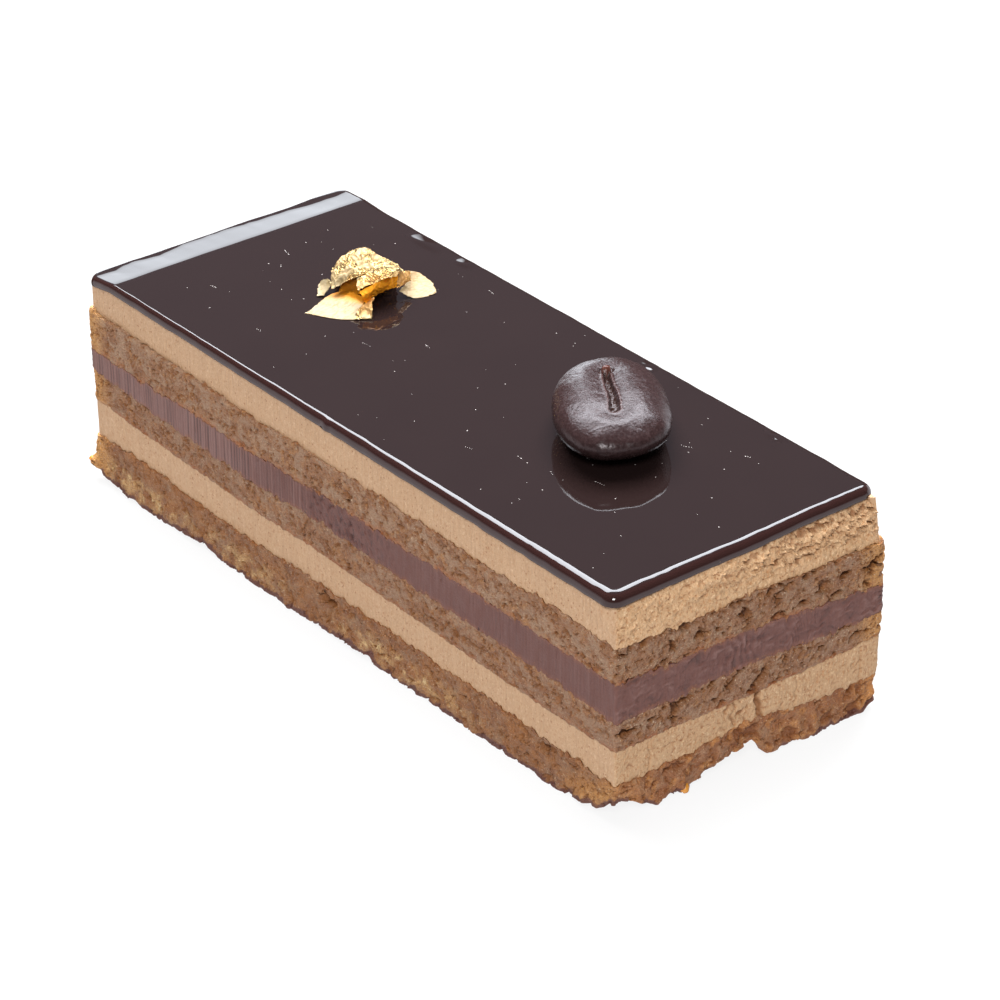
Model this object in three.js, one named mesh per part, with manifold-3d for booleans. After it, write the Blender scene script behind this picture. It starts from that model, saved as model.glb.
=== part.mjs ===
// Opera cake, one finger-shaped portion: three coffee-soaked almond sponges with coffee buttercream and
// chocolate ganache between them, a dark chocolate glaze on top, and on the glaze a chocolate coffee bean
// and a crumpled piece of gold leaf.
//
// Millimetres, +Z up. +X runs along the portion and +Y across it. The origin is the centre of the underside.

import * as THREE from 'three';
import { mergeVertices } from 'three/addons/utils/BufferGeometryUtils.js';
import Module from 'manifold-3d';

// ---------------------------------------------------------------- driving dimensions

const LENGTH = 105;
const WIDTH = 40;
const HEIGHT = 30; // to the top of the glaze
const CORNER = 0.9; // radius of the cut corners, seen from above
const LAYER_CLEARANCE = 0.2; // between the faces of two layers that lie on each other

// Each level is where one layer ends and the next begins: its height at the four corners of the portion,
// [-X -Y, +X -Y, +X +Y, -X +Y], and how far it wanders up and down along the cut faces.
const LEVELS = {
  baseTop: { corners: [6.4, 5.2, 4.9, 6.1], wander: 0.5 },
  lowerCreamTop: { corners: [11.6, 9.6, 10.1, 11.3], wander: 0.2 },
  middleTop: { corners: [16.1, 13.8, 14.0, 15.6], wander: 0.45 },
  ganacheTop: { corners: [19.1, 18.9, 17.7, 18.6], wander: 0.35 },
  upperTop: { corners: [24.4, 23.7, 23.2, 24.0], wander: 0.5 },
  upperCreamTop: { corners: [28.7, 28.6, 28.6, 28.7], wander: 0 },
};
const WANDER_LENGTH = 4.2; // spacing of the humps in a level
const EDGE_DEPTH = 4; // how far in from the cut faces the levels wander; the inside is smooth

// Places where the thin edge of the base has crumbled away from below: centre, radius and height.
const BITES = [
  { x: 53, y: -20.5, radius: 9, height: 3.0 },
  { x: 53, y: -1.5, radius: 5.5, height: 3.0 },
  { x: -53, y: -20.5, radius: 9, height: 1.7 },
  { x: -28, y: -21, radius: 4.2, height: 1.4 },
  { x: 7, y: -21, radius: 4, height: 1.4 },
  { x: 53, y: 20.5, radius: 4.5, height: 1.6 },
  { x: -17, y: 21, radius: 5, height: 1.5 },
  { x: 30, y: 21, radius: 4, height: 1.2 },
  { x: -53, y: 8, radius: 5, height: 1.8 },
];

const GLAZE = {
  halfLength: 52.1,
  halfWidth: 20.25,
  corner: 1.3,
  thickness: 1.2,
  rimDrop: 0.75, // how far the rounded rim falls below the flat top
  undercut: 0.3, // how far the foot of the rim tucks back in
  // width of the rounded rim on each side
  rim: { front: 0.9, right: 1.7, back: 0.9, left: 4.2 },
};

const BEAN = {
  length: 20.4,
  width: 14.6,
  thickness: 7.5,
  x: 22.5,
  y: 4.3,
  turn: THREE.MathUtils.degToRad(-36),
  sunk: 0.25, // the round underside is pressed flat by this much
  grooveLength: 8.6,
  grooveWidth: 1.3,
  grooveDepth: 1.0,
  grooveShift: 0.4, // the groove's middle lies this far towards the bean's +X end
};

const LEAF_THICKNESS = 0.3;
const REST_CLEARANCE = 0.05; // between the glaze and what lies on it

// Steps round a layer's outline.
const RING = { longSteps: 40, shortSteps: 16, cornerSteps: 2 };

const COLOURS = {
  sponge: 0x93704f,
  cream: 0xc5a282,
  ganache: 0x7a5a54,
  glaze: 0x2b1d1b,
  bean: 0x3a2827,
  gold: 0xe2b04a,
};

// ---------------------------------------------------------------- uneven shapes

/** A repeatable random number from 0 to 1 for one point of a whole-number grid. */
function gridRandom(i, j, k, seed) {
  const s = Math.sin(i * 127.1 + j * 311.7 + k * 74.7 + seed * 53.3) * 43758.5453;
  return s - Math.floor(s);
}

/** Smooth noise from -1 to 1, with a grid spacing of 1. */
function noise(x, y, z, seed) {
  const [i, j, k] = [Math.floor(x), Math.floor(y), Math.floor(z)];
  const ease = (t) => t * t * (3 - 2 * t);
  const [u, v, w] = [ease(x - i), ease(y - j), ease(z - k)];
  let sum = 0;
  for (let corner = 0; corner < 8; corner++) {
    const [a, b, c] = [corner & 1, (corner >> 1) & 1, corner >> 2];
    const weight = (a ? u : 1 - u) * (b ? v : 1 - v) * (c ? w : 1 - w);
    sum += weight * gridRandom(i + a, j + b, k + c, seed);
  }
  return 2 * sum - 1;
}

/** A smooth hump: 1 at distance 0, falling to 0 at radius. */
function hump(distance, radius) {
  return distance < radius ? (1 - (distance / radius) ** 2) ** 2 : 0;
}

/** 1 at the cut faces, falling to 0 at EDGE_DEPTH inside them. */
function nearEdge(x, y) {
  const inside = Math.min(LENGTH / 2 - Math.abs(x), WIDTH / 2 - Math.abs(y));
  return 1 - THREE.MathUtils.smoothstep(inside, 0, EDGE_DEPTH);
}

/** Height of a level above the point x, y. */
function levelHeight(name, x, y) {
  const { corners, wander } = LEVELS[name];
  const u = x / LENGTH + 0.5;
  const v = y / WIDTH + 0.5;
  const front = THREE.MathUtils.lerp(corners[0], corners[1], u);
  const back = THREE.MathUtils.lerp(corners[3], corners[2], u);
  const seed = Object.keys(LEVELS).indexOf(name);
  const uneven = noise(x / WANDER_LENGTH, y / WANDER_LENGTH, 0, seed);
  return THREE.MathUtils.lerp(front, back, v) + wander * nearEdge(x, y) * uneven;
}

/** Height of the cake's underside: flat, with the crumbled places along its edges. */
function undersideHeight(x, y) {
  const ragged = Math.max(0, noise(x / 3, y / 3, 0, 9)) * 0.9 * nearEdge(x, y);
  const bitten = BITES.map((bite) => bite.height * hump(Math.hypot(x - bite.x, y - bite.y), bite.radius));
  return Math.max(ragged, ...bitten) * Math.sqrt(nearEdge(x, y));
}

// ---------------------------------------------------------------- slabs

/** Points round a rectangle with rounded corners, anticlockwise from its +X -Y corner, each with its outward normal. */
function roundedRing(halfLength, halfWidth, corner, { longSteps, shortSteps, cornerSteps }) {
  const signs = [[1, -1], [1, 1], [-1, 1], [-1, -1]];
  const arcPoint = (k, turn) => {
    const [sx, sy] = signs[k % 4];
    const [nx, ny] = [Math.cos(turn), Math.sin(turn)];
    return { x: sx * (halfLength - corner) + corner * nx, y: sy * (halfWidth - corner) + corner * ny, nx, ny };
  };
  const ring = [];
  for (let k = 0; k < 4; k++) {
    const turn = (k * Math.PI) / 2;
    for (let step = 0; step <= cornerSteps; step++) {
      ring.push(arcPoint(k, turn - (Math.PI / 2) * (1 - step / cornerSteps)));
    }
    const [from, to] = [arcPoint(k, turn), arcPoint(k + 1, turn)];
    const sideSteps = k % 2 ? longSteps : shortSteps;
    for (let step = 1; step < sideSteps; step++) {
      const t = step / sideSteps;
      ring.push({ ...from, x: from.x + (to.x - from.x) * t, y: from.y + (to.y - from.y) * t });
    }
  }
  return ring;
}

/** One closed surface through rings of equal length, stacked from the underside up and closed at both ends. */
function closedStack(rings) {
  const count = rings[0].length;
  const positions = rings.flat().flatMap((p) => [p.x, p.y, p.z]);
  const faces = [];
  for (let row = 0; row + 1 < rings.length; row++) {
    for (let i = 0; i < count; i++) {
      const j = (i + 1) % count;
      const [a, b, c, d] = [row * count + i, row * count + j, (row + 1) * count + i, (row + 1) * count + j];
      if (row === 0) faces.push(a, b, c, b, d, c); // split like the last row of the layer below it
      else faces.push(a, b, d, a, d, c);
    }
  }
  const flat = rings[0].map((p) => new THREE.Vector2(p.x, p.y));
  const top = (rings.length - 1) * count;
  for (const [a, b, c] of THREE.ShapeUtils.triangulateShape(flat, [])) {
    faces.push(top + a, top + b, top + c, c, b, a);
  }
  const geometry = new THREE.BufferGeometry();
  geometry.setAttribute('position', new THREE.Float32BufferAttribute(positions, 3));
  geometry.setIndex(faces);
  return geometry;
}

const outline = roundedRing(LENGTH / 2, WIDTH / 2, CORNER, RING);

/** The outline drawn in by EDGE_DEPTH, at the heights that heightAt gives. */
function innerRing(heightAt) {
  const [shrinkX, shrinkY] = [1 - (2 * EDGE_DEPTH) / LENGTH, 1 - (2 * EDGE_DEPTH) / WIDTH];
  return outline.map((p) => {
    const [x, y] = [p.x * shrinkX, p.y * shrinkY];
    return { x, y, z: heightAt(x, y) };
  });
}

/** One layer between two heights. outset(point, z, t) is how far its side stands out, t being 0 at its foot and 1 at its top. */
function layer(bottomAt, topAt, rows, outset) {
  const rings = [innerRing(bottomAt)];
  for (let row = 0; row <= rows; row++) {
    const t = row / rows;
    const heightAt = (x, y) => THREE.MathUtils.lerp(bottomAt(x, y), topAt(x, y), t);
    rings.push(outline.map((p) => {
      const out = outset(p, heightAt(p.x, p.y), t);
      const [x, y] = [p.x + p.nx * out, p.y + p.ny * out];
      return { x, y, z: heightAt(x, y) };
    }));
  }
  rings.push(innerRing(topAt));
  return closedStack(rings);
}

/** A level seen from the layer below it or above it, with half the clearance taken off. */
const below = (name) => (x, y) => levelHeight(name, x, y) - LAYER_CLEARANCE / 2;
const above = (name) => (x, y) => levelHeight(name, x, y) + LAYER_CLEARANCE / 2;

// ---------------------------------------------------------------- the layers

/** Side of a sponge: open crumb that stands out in crags and sinks in holes. */
function spongeOutset(seed) {
  return (p, z) => {
    const crags = 0.4 * noise(p.x / 3.1, p.y / 3.1, z / 1.7, seed);
    const holes = 1.1 * Math.max(0, noise(p.x / 2.3, p.y / 2.3, z / 1.5, seed + 1) - 0.3);
    return 0.15 + crags - holes;
  };
}

/** Base sponge, with its thin lower edge bitten away in places and a loose flake at its -X -Y corner. */
function spongeBase() {
  const flake = { x: -52.5, y: -20, z: 2.4, radius: 2.4, reach: 0.7 };
  const crumb = spongeOutset(21);
  const outset = (p, z, t) => {
    const taper = 0.5 * (1 - t) ** 2;
    const distance = Math.hypot(p.x - flake.x, p.y - flake.y, z - flake.z);
    return crumb(p, z) - taper + flake.reach * hump(distance, flake.radius);
  };
  return layer(undersideHeight, below('baseTop'), 4, outset);
}

function creamLower() {
  const outset = (p, z) => -0.1 + 0.12 * noise(p.x / 5, p.y / 5, z / 3, 31);
  return layer(above('baseTop'), below('lowerCreamTop'), 2, outset);
}

function spongeMiddle() {
  return layer(above('lowerCreamTop'), below('middleTop'), 4, spongeOutset(41));
}

function ganache() {
  const outset = (p, z) => 0.05 + 0.15 * noise(p.x / 4, p.y / 4, z / 3, 51);
  return layer(above('middleTop'), below('ganacheTop'), 2, outset);
}

function spongeUpper() {
  return layer(above('ganacheTop'), below('upperTop'), 4, spongeOutset(61));
}

/** Upper buttercream: smooth on the long sides, torn and stepped back towards the top of the +X end. */
function creamUpper() {
  const outset = (p, z, t) => {
    const smooth = -0.1 + 0.12 * noise(p.x / 5, p.y / 5, z / 3, 71);
    const torn = 0.5 * noise(p.y / 2.5, z / 1.2, 0, 72) - 0.7 * t;
    const share = Math.max(0, p.nx) * THREE.MathUtils.smoothstep(p.y, -14, 10);
    return smooth + share * torn;
  };
  return layer(above('upperTop'), below('upperCreamTop'), 3, outset);
}

/** How far in the rounded rim of the glaze reaches from its edge at an outline point. */
function rimWidth(p) {
  const { front, right, back, left } = GLAZE.rim;
  const alongX = p.nx > 0 ? right : left;
  const alongY = p.ny > 0 ? back : front;
  return alongX * p.nx ** 2 + alongY * p.ny ** 2;
}

/** Glaze: a flat sheet with a rounded rim, broadest at its -X end, over a short upright edge. */
function glaze() {
  const { halfLength, halfWidth, corner, thickness, rimDrop, undercut } = GLAZE;
  const ring = roundedRing(halfLength, halfWidth, corner, { longSteps: 34, shortSteps: 14, cornerSteps: 4 });
  const foot = HEIGHT - thickness;
  const wobble = (p) => 0.2 * noise(p.x / 6, p.y / 6, 0, 81) * Math.abs(p.nx);
  const at = (inset, z) => ring.map((p) => {
    const out = wobble(p) - inset(p);
    return { x: p.x + p.nx * out, y: p.y + p.ny * out, z };
  });
  const edgeRows = [
    at(() => undercut, foot),
    at(() => 0, foot + 0.25 * (thickness - rimDrop)),
    at(() => 0, HEIGHT - rimDrop),
  ];
  const rimRows = [30, 60, 90].map((degrees) => {
    const turn = THREE.MathUtils.degToRad(degrees);
    const inset = (p) => rimWidth(p) * (1 - Math.cos(turn));
    return at(inset, HEIGHT - rimDrop * (1 - Math.sin(turn)));
  });
  return closedStack([...edgeRows, ...rimRows]);
}

// ---------------------------------------------------------------- booleans

const wasm = await Module();
wasm.setup();

/** A closed geometry as a manifold-3d solid. */
function solidOf(geometry) {
  const bare = geometry.clone().deleteAttribute('normal').deleteAttribute('uv');
  const merged = mergeVertices(bare, 1e-4);
  const vertProperties = new Float32Array(merged.attributes.position.array);
  return new wasm.Manifold(new wasm.Mesh({ numProp: 3, vertProperties, triVerts: new Uint32Array(merged.index.array) }));
}

/** A manifold-3d solid as a geometry. */
function geometryOf(solid) {
  const { numProp, numVert, vertProperties, triVerts } = solid.getMesh();
  const positions = new Float32Array(numVert * 3);
  for (let i = 0; i < numVert; i++) {
    positions.set(vertProperties.subarray(i * numProp, i * numProp + 3), i * 3);
  }
  const geometry = new THREE.BufferGeometry();
  geometry.setAttribute('position', new THREE.BufferAttribute(positions, 3));
  geometry.setIndex(new THREE.BufferAttribute(triVerts, 1));
  return geometry;
}

// ---------------------------------------------------------------- what lies on the glaze

/** Chocolate coffee bean: a plump oval with its seam as a short groove on top. It lies along X, its underside at z = 0. */
function coffeeBean() {
  const { length, width, thickness, sunk, grooveLength, grooveWidth, grooveDepth, grooveShift } = BEAN;
  const body = new THREE.SphereGeometry(1, 40, 22).rotateX(Math.PI / 2);
  const place = body.attributes.position;
  for (let i = 0; i < place.count; i++) {
    const [x, y, z] = [place.getX(i), place.getY(i), place.getZ(i)];
    const fullness = 1 + 0.05 * Math.sin(2 * Math.atan2(y, x)) + 0.03 * x * y; // a little lopsided
    const height = thickness * (0.5 + 0.5 * Math.sign(z) * Math.abs(z) ** 0.92);
    place.setXYZ(i, (length / 2) * x * fullness, (width / 2) * y * fullness, Math.max(0, height - sunk));
  }
  const groove = new THREE.CapsuleGeometry(0.5, grooveLength / grooveWidth - 1, 5, 10);
  groove.rotateZ(Math.PI / 2).scale(grooveWidth, grooveWidth, 2 * grooveDepth);
  groove.translate(grooveShift, 0, thickness - sunk);
  return geometryOf(solidOf(body).subtract(solidOf(groove)));
}

// The sheet of gold leaf is drawn through ribs, each from its left end to its right: the torn front edge,
// which lies on the glaze and arches up off it, the fold behind it, the crest, and the back edge.
const LEAF_RIBS = [
  [[-25.8, -5.4, 0.2], [-22.6, -3.4, 0.2], [-19.8, 0.2, 0.3], [-19.6, 3.4, 3.0], [-20.9, 7.0, 0.3], [-19.0, 10.4, 0.3]],
  [[-27.2, -2.7, 0.3], [-24.6, -1.2, 0.8], [-22.2, 0.9, 1.9], [-21.6, 3.8, 4.0], [-22.0, 7.4, 1.6], [-19.4, 11.0, 0.4]],
  [[-29.4, 0.8, 2.2], [-27.9, 3.0, 5.0], [-26.3, 4.2, 6.0], [-24.3, 5.2, 5.4], [-23.0, 8.4, 3.0], [-20.6, 11.8, 0.5]],
  [[-31.0, 2.8, 0.4], [-30.2, 5.6, 0.8], [-28.6, 7.6, 1.4], [-26.8, 9.2, 1.4], [-25.2, 11.0, 0.8], [-22.8, 12.9, 0.3]],
];
const LEAF_TAB = [
  [[-28.2, -2.0, 0.2], [-27.6, -1.2, 0.5]],
  [[-30.4, 0.8, 1.2], [-29.0, 1.2, 2.6]],
];
const LEAF_STEPS = { across: 20, along: 14 };

/** A thin wavy solid through ribs of points, with both faces split into triangles alike. */
function sheetSolid(ribs, { across, along }) {
  const curve = (points) => new THREE.CatmullRomCurve3(points.map((p) => new THREE.Vector3(...p)));
  const ribCurves = ribs.map(curve);
  const place = (u, v) => new THREE.CatmullRomCurve3(ribCurves.map((rib) => rib.getPoint(u))).getPoint(v);
  const index = (side, i, j) => (side * (along + 1) + j) * (across + 1) + i;
  const [positions, faces] = [[], []];
  for (const lift of [0, LEAF_THICKNESS]) {
    for (let j = 0; j <= along; j++) {
      for (let i = 0; i <= across; i++) {
        const p = place(i / across, j / along);
        const crumple = 0.35 * noise(p.x / 1.6, p.y / 1.6, 0, 91) * Math.min(1, p.z / 1.5);
        positions.push(p.x, p.y, Math.max(0, p.z + crumple) + lift);
      }
    }
  }
  for (let j = 0; j < along; j++) {
    for (let i = 0; i < across; i++) {
      const [a, b, c, d] = [index(0, i, j), index(0, i + 1, j), index(0, i, j + 1), index(0, i + 1, j + 1)];
      const up = index(1, 0, 0);
      faces.push(a, d, b, a, c, d, up + a, up + b, up + d, up + a, up + d, up + c);
    }
  }
  const rim = [];
  for (let i = 0; i < across; i++) rim.push([i, 0]);
  for (let j = 0; j < along; j++) rim.push([across, j]);
  for (let i = across; i > 0; i--) rim.push([i, along]);
  for (let j = along; j > 0; j--) rim.push([0, j]);
  rim.forEach(([i, j], k) => {
    const [i2, j2] = rim[(k + 1) % rim.length];
    const [a, b, c, d] = [index(0, i, j), index(0, i2, j2), index(1, i, j), index(1, i2, j2)];
    faces.push(a, b, d, a, d, c);
  });
  const geometry = new THREE.BufferGeometry();
  geometry.setAttribute('position', new THREE.Float32BufferAttribute(positions, 3));
  geometry.setIndex(faces);
  return geometry;
}

/** Gold leaf: a crumpled sheet with one torn tab at its left. */
function goldLeaf() {
  const sheet = solidOf(sheetSolid(LEAF_RIBS, LEAF_STEPS));
  const tab = solidOf(sheetSolid(LEAF_TAB, { across: 3, along: 4 }));
  return geometryOf(sheet.add(tab));
}

// ---------------------------------------------------------------- assembly

function material(colour, roughness, metalness = 0) {
  return new THREE.MeshStandardMaterial({ color: colour, roughness, metalness });
}

const cake = new THREE.Group();

function add(name, geometry, look) {
  const mesh = new THREE.Mesh(geometry, look);
  mesh.name = name;
  cake.add(mesh);
  return mesh;
}

const spongeLook = material(COLOURS.sponge, 0.8);
const creamLook = material(COLOURS.cream, 0.65);

add('sponge_base', spongeBase(), spongeLook);
add('buttercream_lower', creamLower(), creamLook);
add('sponge_middle', spongeMiddle(), spongeLook);
add('ganache', ganache(), material(COLOURS.ganache, 0.5));
add('sponge_upper', spongeUpper(), spongeLook);
add('buttercream_upper', creamUpper(), creamLook);
add('glaze', glaze(), material(COLOURS.glaze, 0.08));

const bean = add('coffee_bean', coffeeBean(), material(COLOURS.bean, 0.4));
bean.position.set(BEAN.x, BEAN.y, HEIGHT + REST_CLEARANCE);
bean.rotation.z = BEAN.turn;

const leaf = add('gold_leaf', goldLeaf(), material(COLOURS.gold, 0.25, 1));
leaf.position.z = HEIGHT + REST_CLEARANCE;

export default cake;
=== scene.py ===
"""Looks of an opera cake: cut faces of soaked sponge, buttercream and ganache, a mirror glaze, a chocolate
bean and gold leaf.

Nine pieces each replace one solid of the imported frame; flecks and amber crumbs are drawn on theirs. Shapes
are worked out in millimetres and turned into metres when a mesh is made. +X runs along the cake and +Y across
it; the side at -Y and the end at +X face the camera.
"""

import math

import bmesh
import bpy
import numpy as np
from mathutils import Matrix, Vector


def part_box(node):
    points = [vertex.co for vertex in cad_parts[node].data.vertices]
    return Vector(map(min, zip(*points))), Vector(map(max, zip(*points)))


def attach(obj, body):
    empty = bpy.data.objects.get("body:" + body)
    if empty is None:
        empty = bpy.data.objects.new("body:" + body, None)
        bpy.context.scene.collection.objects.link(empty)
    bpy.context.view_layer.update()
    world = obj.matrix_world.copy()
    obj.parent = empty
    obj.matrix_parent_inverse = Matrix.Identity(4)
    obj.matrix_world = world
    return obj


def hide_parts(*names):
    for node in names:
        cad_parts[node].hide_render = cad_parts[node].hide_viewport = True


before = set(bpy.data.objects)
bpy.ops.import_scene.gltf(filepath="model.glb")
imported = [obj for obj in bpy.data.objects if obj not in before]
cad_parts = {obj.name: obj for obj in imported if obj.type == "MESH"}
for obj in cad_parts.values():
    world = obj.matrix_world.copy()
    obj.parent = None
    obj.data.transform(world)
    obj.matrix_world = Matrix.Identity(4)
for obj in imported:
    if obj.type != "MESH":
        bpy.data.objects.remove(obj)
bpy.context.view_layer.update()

# ---------------------------------------------------------------- sizes, in millimetres

MM = 0.001  # one millimetre in metres
LENGTH = 105.0
WIDTH = 40.0
HALF_LENGTH, HALF_WIDTH = LENGTH / 2, WIDTH / 2
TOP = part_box("glaze")[1].z / MM  # flat top of the glaze
CORNER = 0.25  # radius of the cut corners, seen from above
FACE_STEPS = [0.15, 0.15, 0.24, 0.24]  # spacing of the mesh on the cut faces at -Y, +X, +Y and -X
ROW_STEP = 0.16  # and its spacing upwards
CAP_DEPTH = 3.0  # how far in from the cut faces the flat middle of a layer's underside and top begins
ROOF_REACH = 36  # the hollow under the base takes its height from so many columns on either side

# Heights where one layer ends and the next begins: along the -Y side from -X to +X, then along the +X end
# from -Y to +Y, and last at the -X +Y corner.
LEVELS = {
    "base_top": {
        "front": [6.3, 6.55, 5.8, 5.65, 6.05, 6.0, 5.8, 5.65, 5.35, 5.1],
        "right": [5.2, 6.2, 4.9, 4.9],
        "far": 6.0,
    },
    "lower_cream_top": {
        "front": [11.6, 11.0, 10.7, 10.3, 10.65, 10.3, 10.0, 9.75, 9.6, 9.8],
        "right": [9.9, 9.85, 9.95, 10.4],
        "far": 11.3,
    },
    "middle_top": {
        "front": [16.2, 15.3, 14.9, 14.5, 15.2, 14.9, 14.4, 14.5, 14.3, 13.7],
        "right": [13.8, 14.2, 13.7, 13.6],
        "far": 15.6,
    },
    "ganache_top": {
        "front": [19.0, 18.8, 18.9, 18.7, 19.1, 19.05, 19.1, 19.1, 19.0, 18.9],
        "right": [18.7, 18.9, 18.1, 17.5],
        "far": 18.6,
    },
    "upper_top": {
        "front": [24.6, 24.15, 24.0, 23.7, 23.9, 23.9, 23.9, 23.6, 24.0, 23.6],
        "right": [23.2, 23.5, 23.1, 23.1],
        "far": 24.0,
    },
    "upper_cream_top": {"front": [28.9] * 10, "right": [28.9] * 4, "far": 28.9},
}

# How far each layer's cut face stands out at the corners -X -Y, +X -Y, +X +Y and -X +Y.
OUTSETS = {
    "sponge_base": [0.5, 0.1, 0.4, 0.4],
    "buttercream_lower": [0.2, 0.0, 0.5, 0.2],
    "sponge_middle": [0.3, 0.05, 0.8, 0.3],
    "ganache": [0.6, 0.05, 0.95, 0.5],
    "sponge_upper": [0.5, 0.05, 0.85, 0.4],
    "buttercream_upper": [0.0, 0.0, 0.35, 0.0],
}

# Height of the crumbled lower edge: pairs of distance along a side and height, side by side round the cake.
LOWER_EDGE = [
    [(0, 1.6), (2.5, 0.9), (7.5, 0.25), (15, 0.1), (24.5, 0.9), (28.5, 0.1), (44, 0.1), (52.5, 0.35),
     (59.5, 0.7), (61.5, 0.05), (82, 0.05), (96, 0.05), (99.3, 0.6), (102.5, 0.9), (103.6, 1.6),
     (104.6, 2.6)],
    [(0, 2.6), (2, 2.1), (4, 1.1), (6, 0.1), (8, 0.8), (10, 0.1), (12, 0.8), (15, 1.2), (16, 1.9), (18, 2.3),
     (20, 2.6), (20.9, 3.0), (22, 1.3), (23, 0.5), (26, 0.3), (28, 0.15), (32, 0.0), (37, 0.0), (38, 0.2),
     (40, 0.8)],
    [(0, 0.8), (7, 0.1), (26, 0.1), (31, 1.2), (34, 0.1), (60, 0.2), (66, 1.0), (72, 0.0), (98, 0.1),
     (104, 0.5)],
    [(0, 0.5), (6, 1.1), (12, 0.1), (23, 1.7), (27, 0.2), (36, 0.4), (39.5, 1.6)],
]

# Larger holes in the sponge of the two faces that show: place along the face, height, half-width, half-height
# and depth.
SIDE_HOLES = [
    (-2.0, 4.7, 1.7, 0.7, 1.4), (39.8, 4.2, 0.8, 0.7, 1.2),
    (2.5, 20.6, 0.7, 0.35, 0.7), (2.0, 11.6, 0.9, 0.3, 0.7),
]
END_HOLES = [
    (-18.6, 22.6, 0.7, 0.35, 1.0), (-9.8, 22.9, 1.5, 0.75, 1.2), (-7.8, 20.9, 0.9, 0.5, 1.1),
    (-5.4, 23.1, 0.8, 0.4, 0.9), (3.9, 19.2, 1.0, 0.4, 1.2), (4.2, 22.1, 0.8, 0.4, 0.9),
    (11.0, 20.5, 0.8, 0.8, 1.1), (13.0, 18.7, 1.1, 0.45, 1.3), (17.4, 18.6, 0.7, 0.5, 1.2),
    (-10.6, 13.0, 1.6, 0.6, 0.9), (-4.4, 10.4, 0.6, 0.4, 0.8), (1.0, 10.9, 0.8, 0.4, 1.0),
    (4.6, 10.9, 0.5, 0.4, 0.9), (8.0, 12.6, 0.9, 0.3, 0.7),
]
HOLES = [(x, -HALF_WIDTH, *rest) for x, *rest in SIDE_HOLES]
HOLES += [(HALF_LENGTH, y, *rest) for y, *rest in END_HOLES]

# Upright splits in the lower buttercream of the +X end: place, half-width, depth, lower and upper end, and
# sway.
SPLITS = [
    (1.5, 0.26, 0.9, 5.0, 10.0, 0.6),
    (-2.2, 0.16, 0.4, 6.4, 9.6, 0.7),
    (-15.0, 0.1, 0.25, 5.4, 9.2, 0.3),
    (7.2, 0.1, 0.2, 5.2, 9.8, 0.5),
    (17.3, 0.1, 0.25, 5.0, 9.6, 0.1),
]

GLAZE = {
    "half_length": 52.3,
    "half_width": 20.35,
    "corner": 1.8,
    "overhang_turn": 98,  # degrees the rim turns through before its lower edge
    "end_overhang": 0.95,  # the -X end reaches this much further out
    "corner_reach": 0.75,  # and its +Y corner this much further towards +Y
    "slope_start": -47.6,  # it slopes down from here
    "slope_drop": 0.56,
}

NICK_AT = -1.8  # place along the -Y rim of a small nick

# Radii of the rim's rounding near the top, half-way down and at its foot, by turns round the outline: 0 to 1
# along -Y, 1 to 2 along +X, and so on.
RIM = [
    (0.0, 0.5, 0.85, 1.1),
    (0.3, 0.6, 0.95, 1.25),
    (0.5, 0.85, 1.1, 1.35),
    (0.75, 1.4, 1.15, 1.4),
    (0.98, 1.9, 1.15, 1.4),
    (1.05, 2.1, 1.35, 1.15),
    (1.5, 1.5, 1.4, 1.1),
    (2.0, 1.2, 1.3, 1.1),
    (2.1, 0.9, 1.1, 1.2),
    (2.9, 0.9, 1.1, 1.2),
    (2.96, 1.3, 1.15, 1.2),
    (3.02, 1.0, 1.0, 1.1),
    (3.1, 0.2, 0.8, 1.1),
    (3.9, 0.2, 0.8, 1.1),
]

# The narrow flat lip past the slope at the -X end: place across the cake and width.
END_LIP = [
    (-20, 0.9), (-17, 0.95), (-14, 0.5), (-10, 1.15), (-6, 0.5), (2, 0.5), (6, 0.95), (10, 0.95), (14, 1.35),
    (17, 1.15), (20, 0.95),
]

# Small swellings along the back of the glaze: place, radius along it and towards -Y, and height.
SWELLINGS = [
    (-31.7, 18.0, 3.8, 0.95, 0.15),
    (-23.9, 18.35, 1.9, 0.8, 0.12),
    (12.4, 18.6, 1.7, 0.8, 0.115),
    (35.4, 18.7, 1.8, 0.7, 0.08),
]

BEAN = {
    "length": 21.8,
    "width": 14.15,
    "thickness": 6.6,
    "squareness": 2.35,
    "x": 22.55,
    "y": 4.15,
    "turn": -28.7,  # degrees
    "steps": (300, 150),
}
GROOVE = {"start": -4.9, "end": 4.7, "side": -0.1, "lean": -0.076, "widths": (0.42, 0.75), "depth": 0.6}
# Swellings on the bean's front: place and height.
BULGES = [((9.5, -3.3, 4.3), 0.16), ((10.3, 1.5, 4.0), 0.2), ((7.0, 5.0, 4.2), 0.18)]

# ---------------------------------------------------------------- noise


def hashed(cells, seed):
    """A repeatable 32-bit number for each whole-number grid point."""
    i, j, k = cells[..., 0], cells[..., 1], cells[..., 2]
    h = (i * 0x8DA6B343 ^ j * 0xD8163841 ^ k * 0xCB1AB31F ^ seed * 0x9E3779B1) & 0xFFFFFFFF
    for shift, factor in ((15, 0x2C1B3C6D), (12, 0x297A2D39)):
        h = ((h ^ (h >> shift)) * factor) & 0xFFFFFFFF
    return h ^ (h >> 15)


def fractions(bits):
    """Three numbers from 0 to 1 out of each 32-bit number."""
    return np.stack([bits >> shift & 1023 for shift in (0, 10, 20)], -1) / 1023


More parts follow.
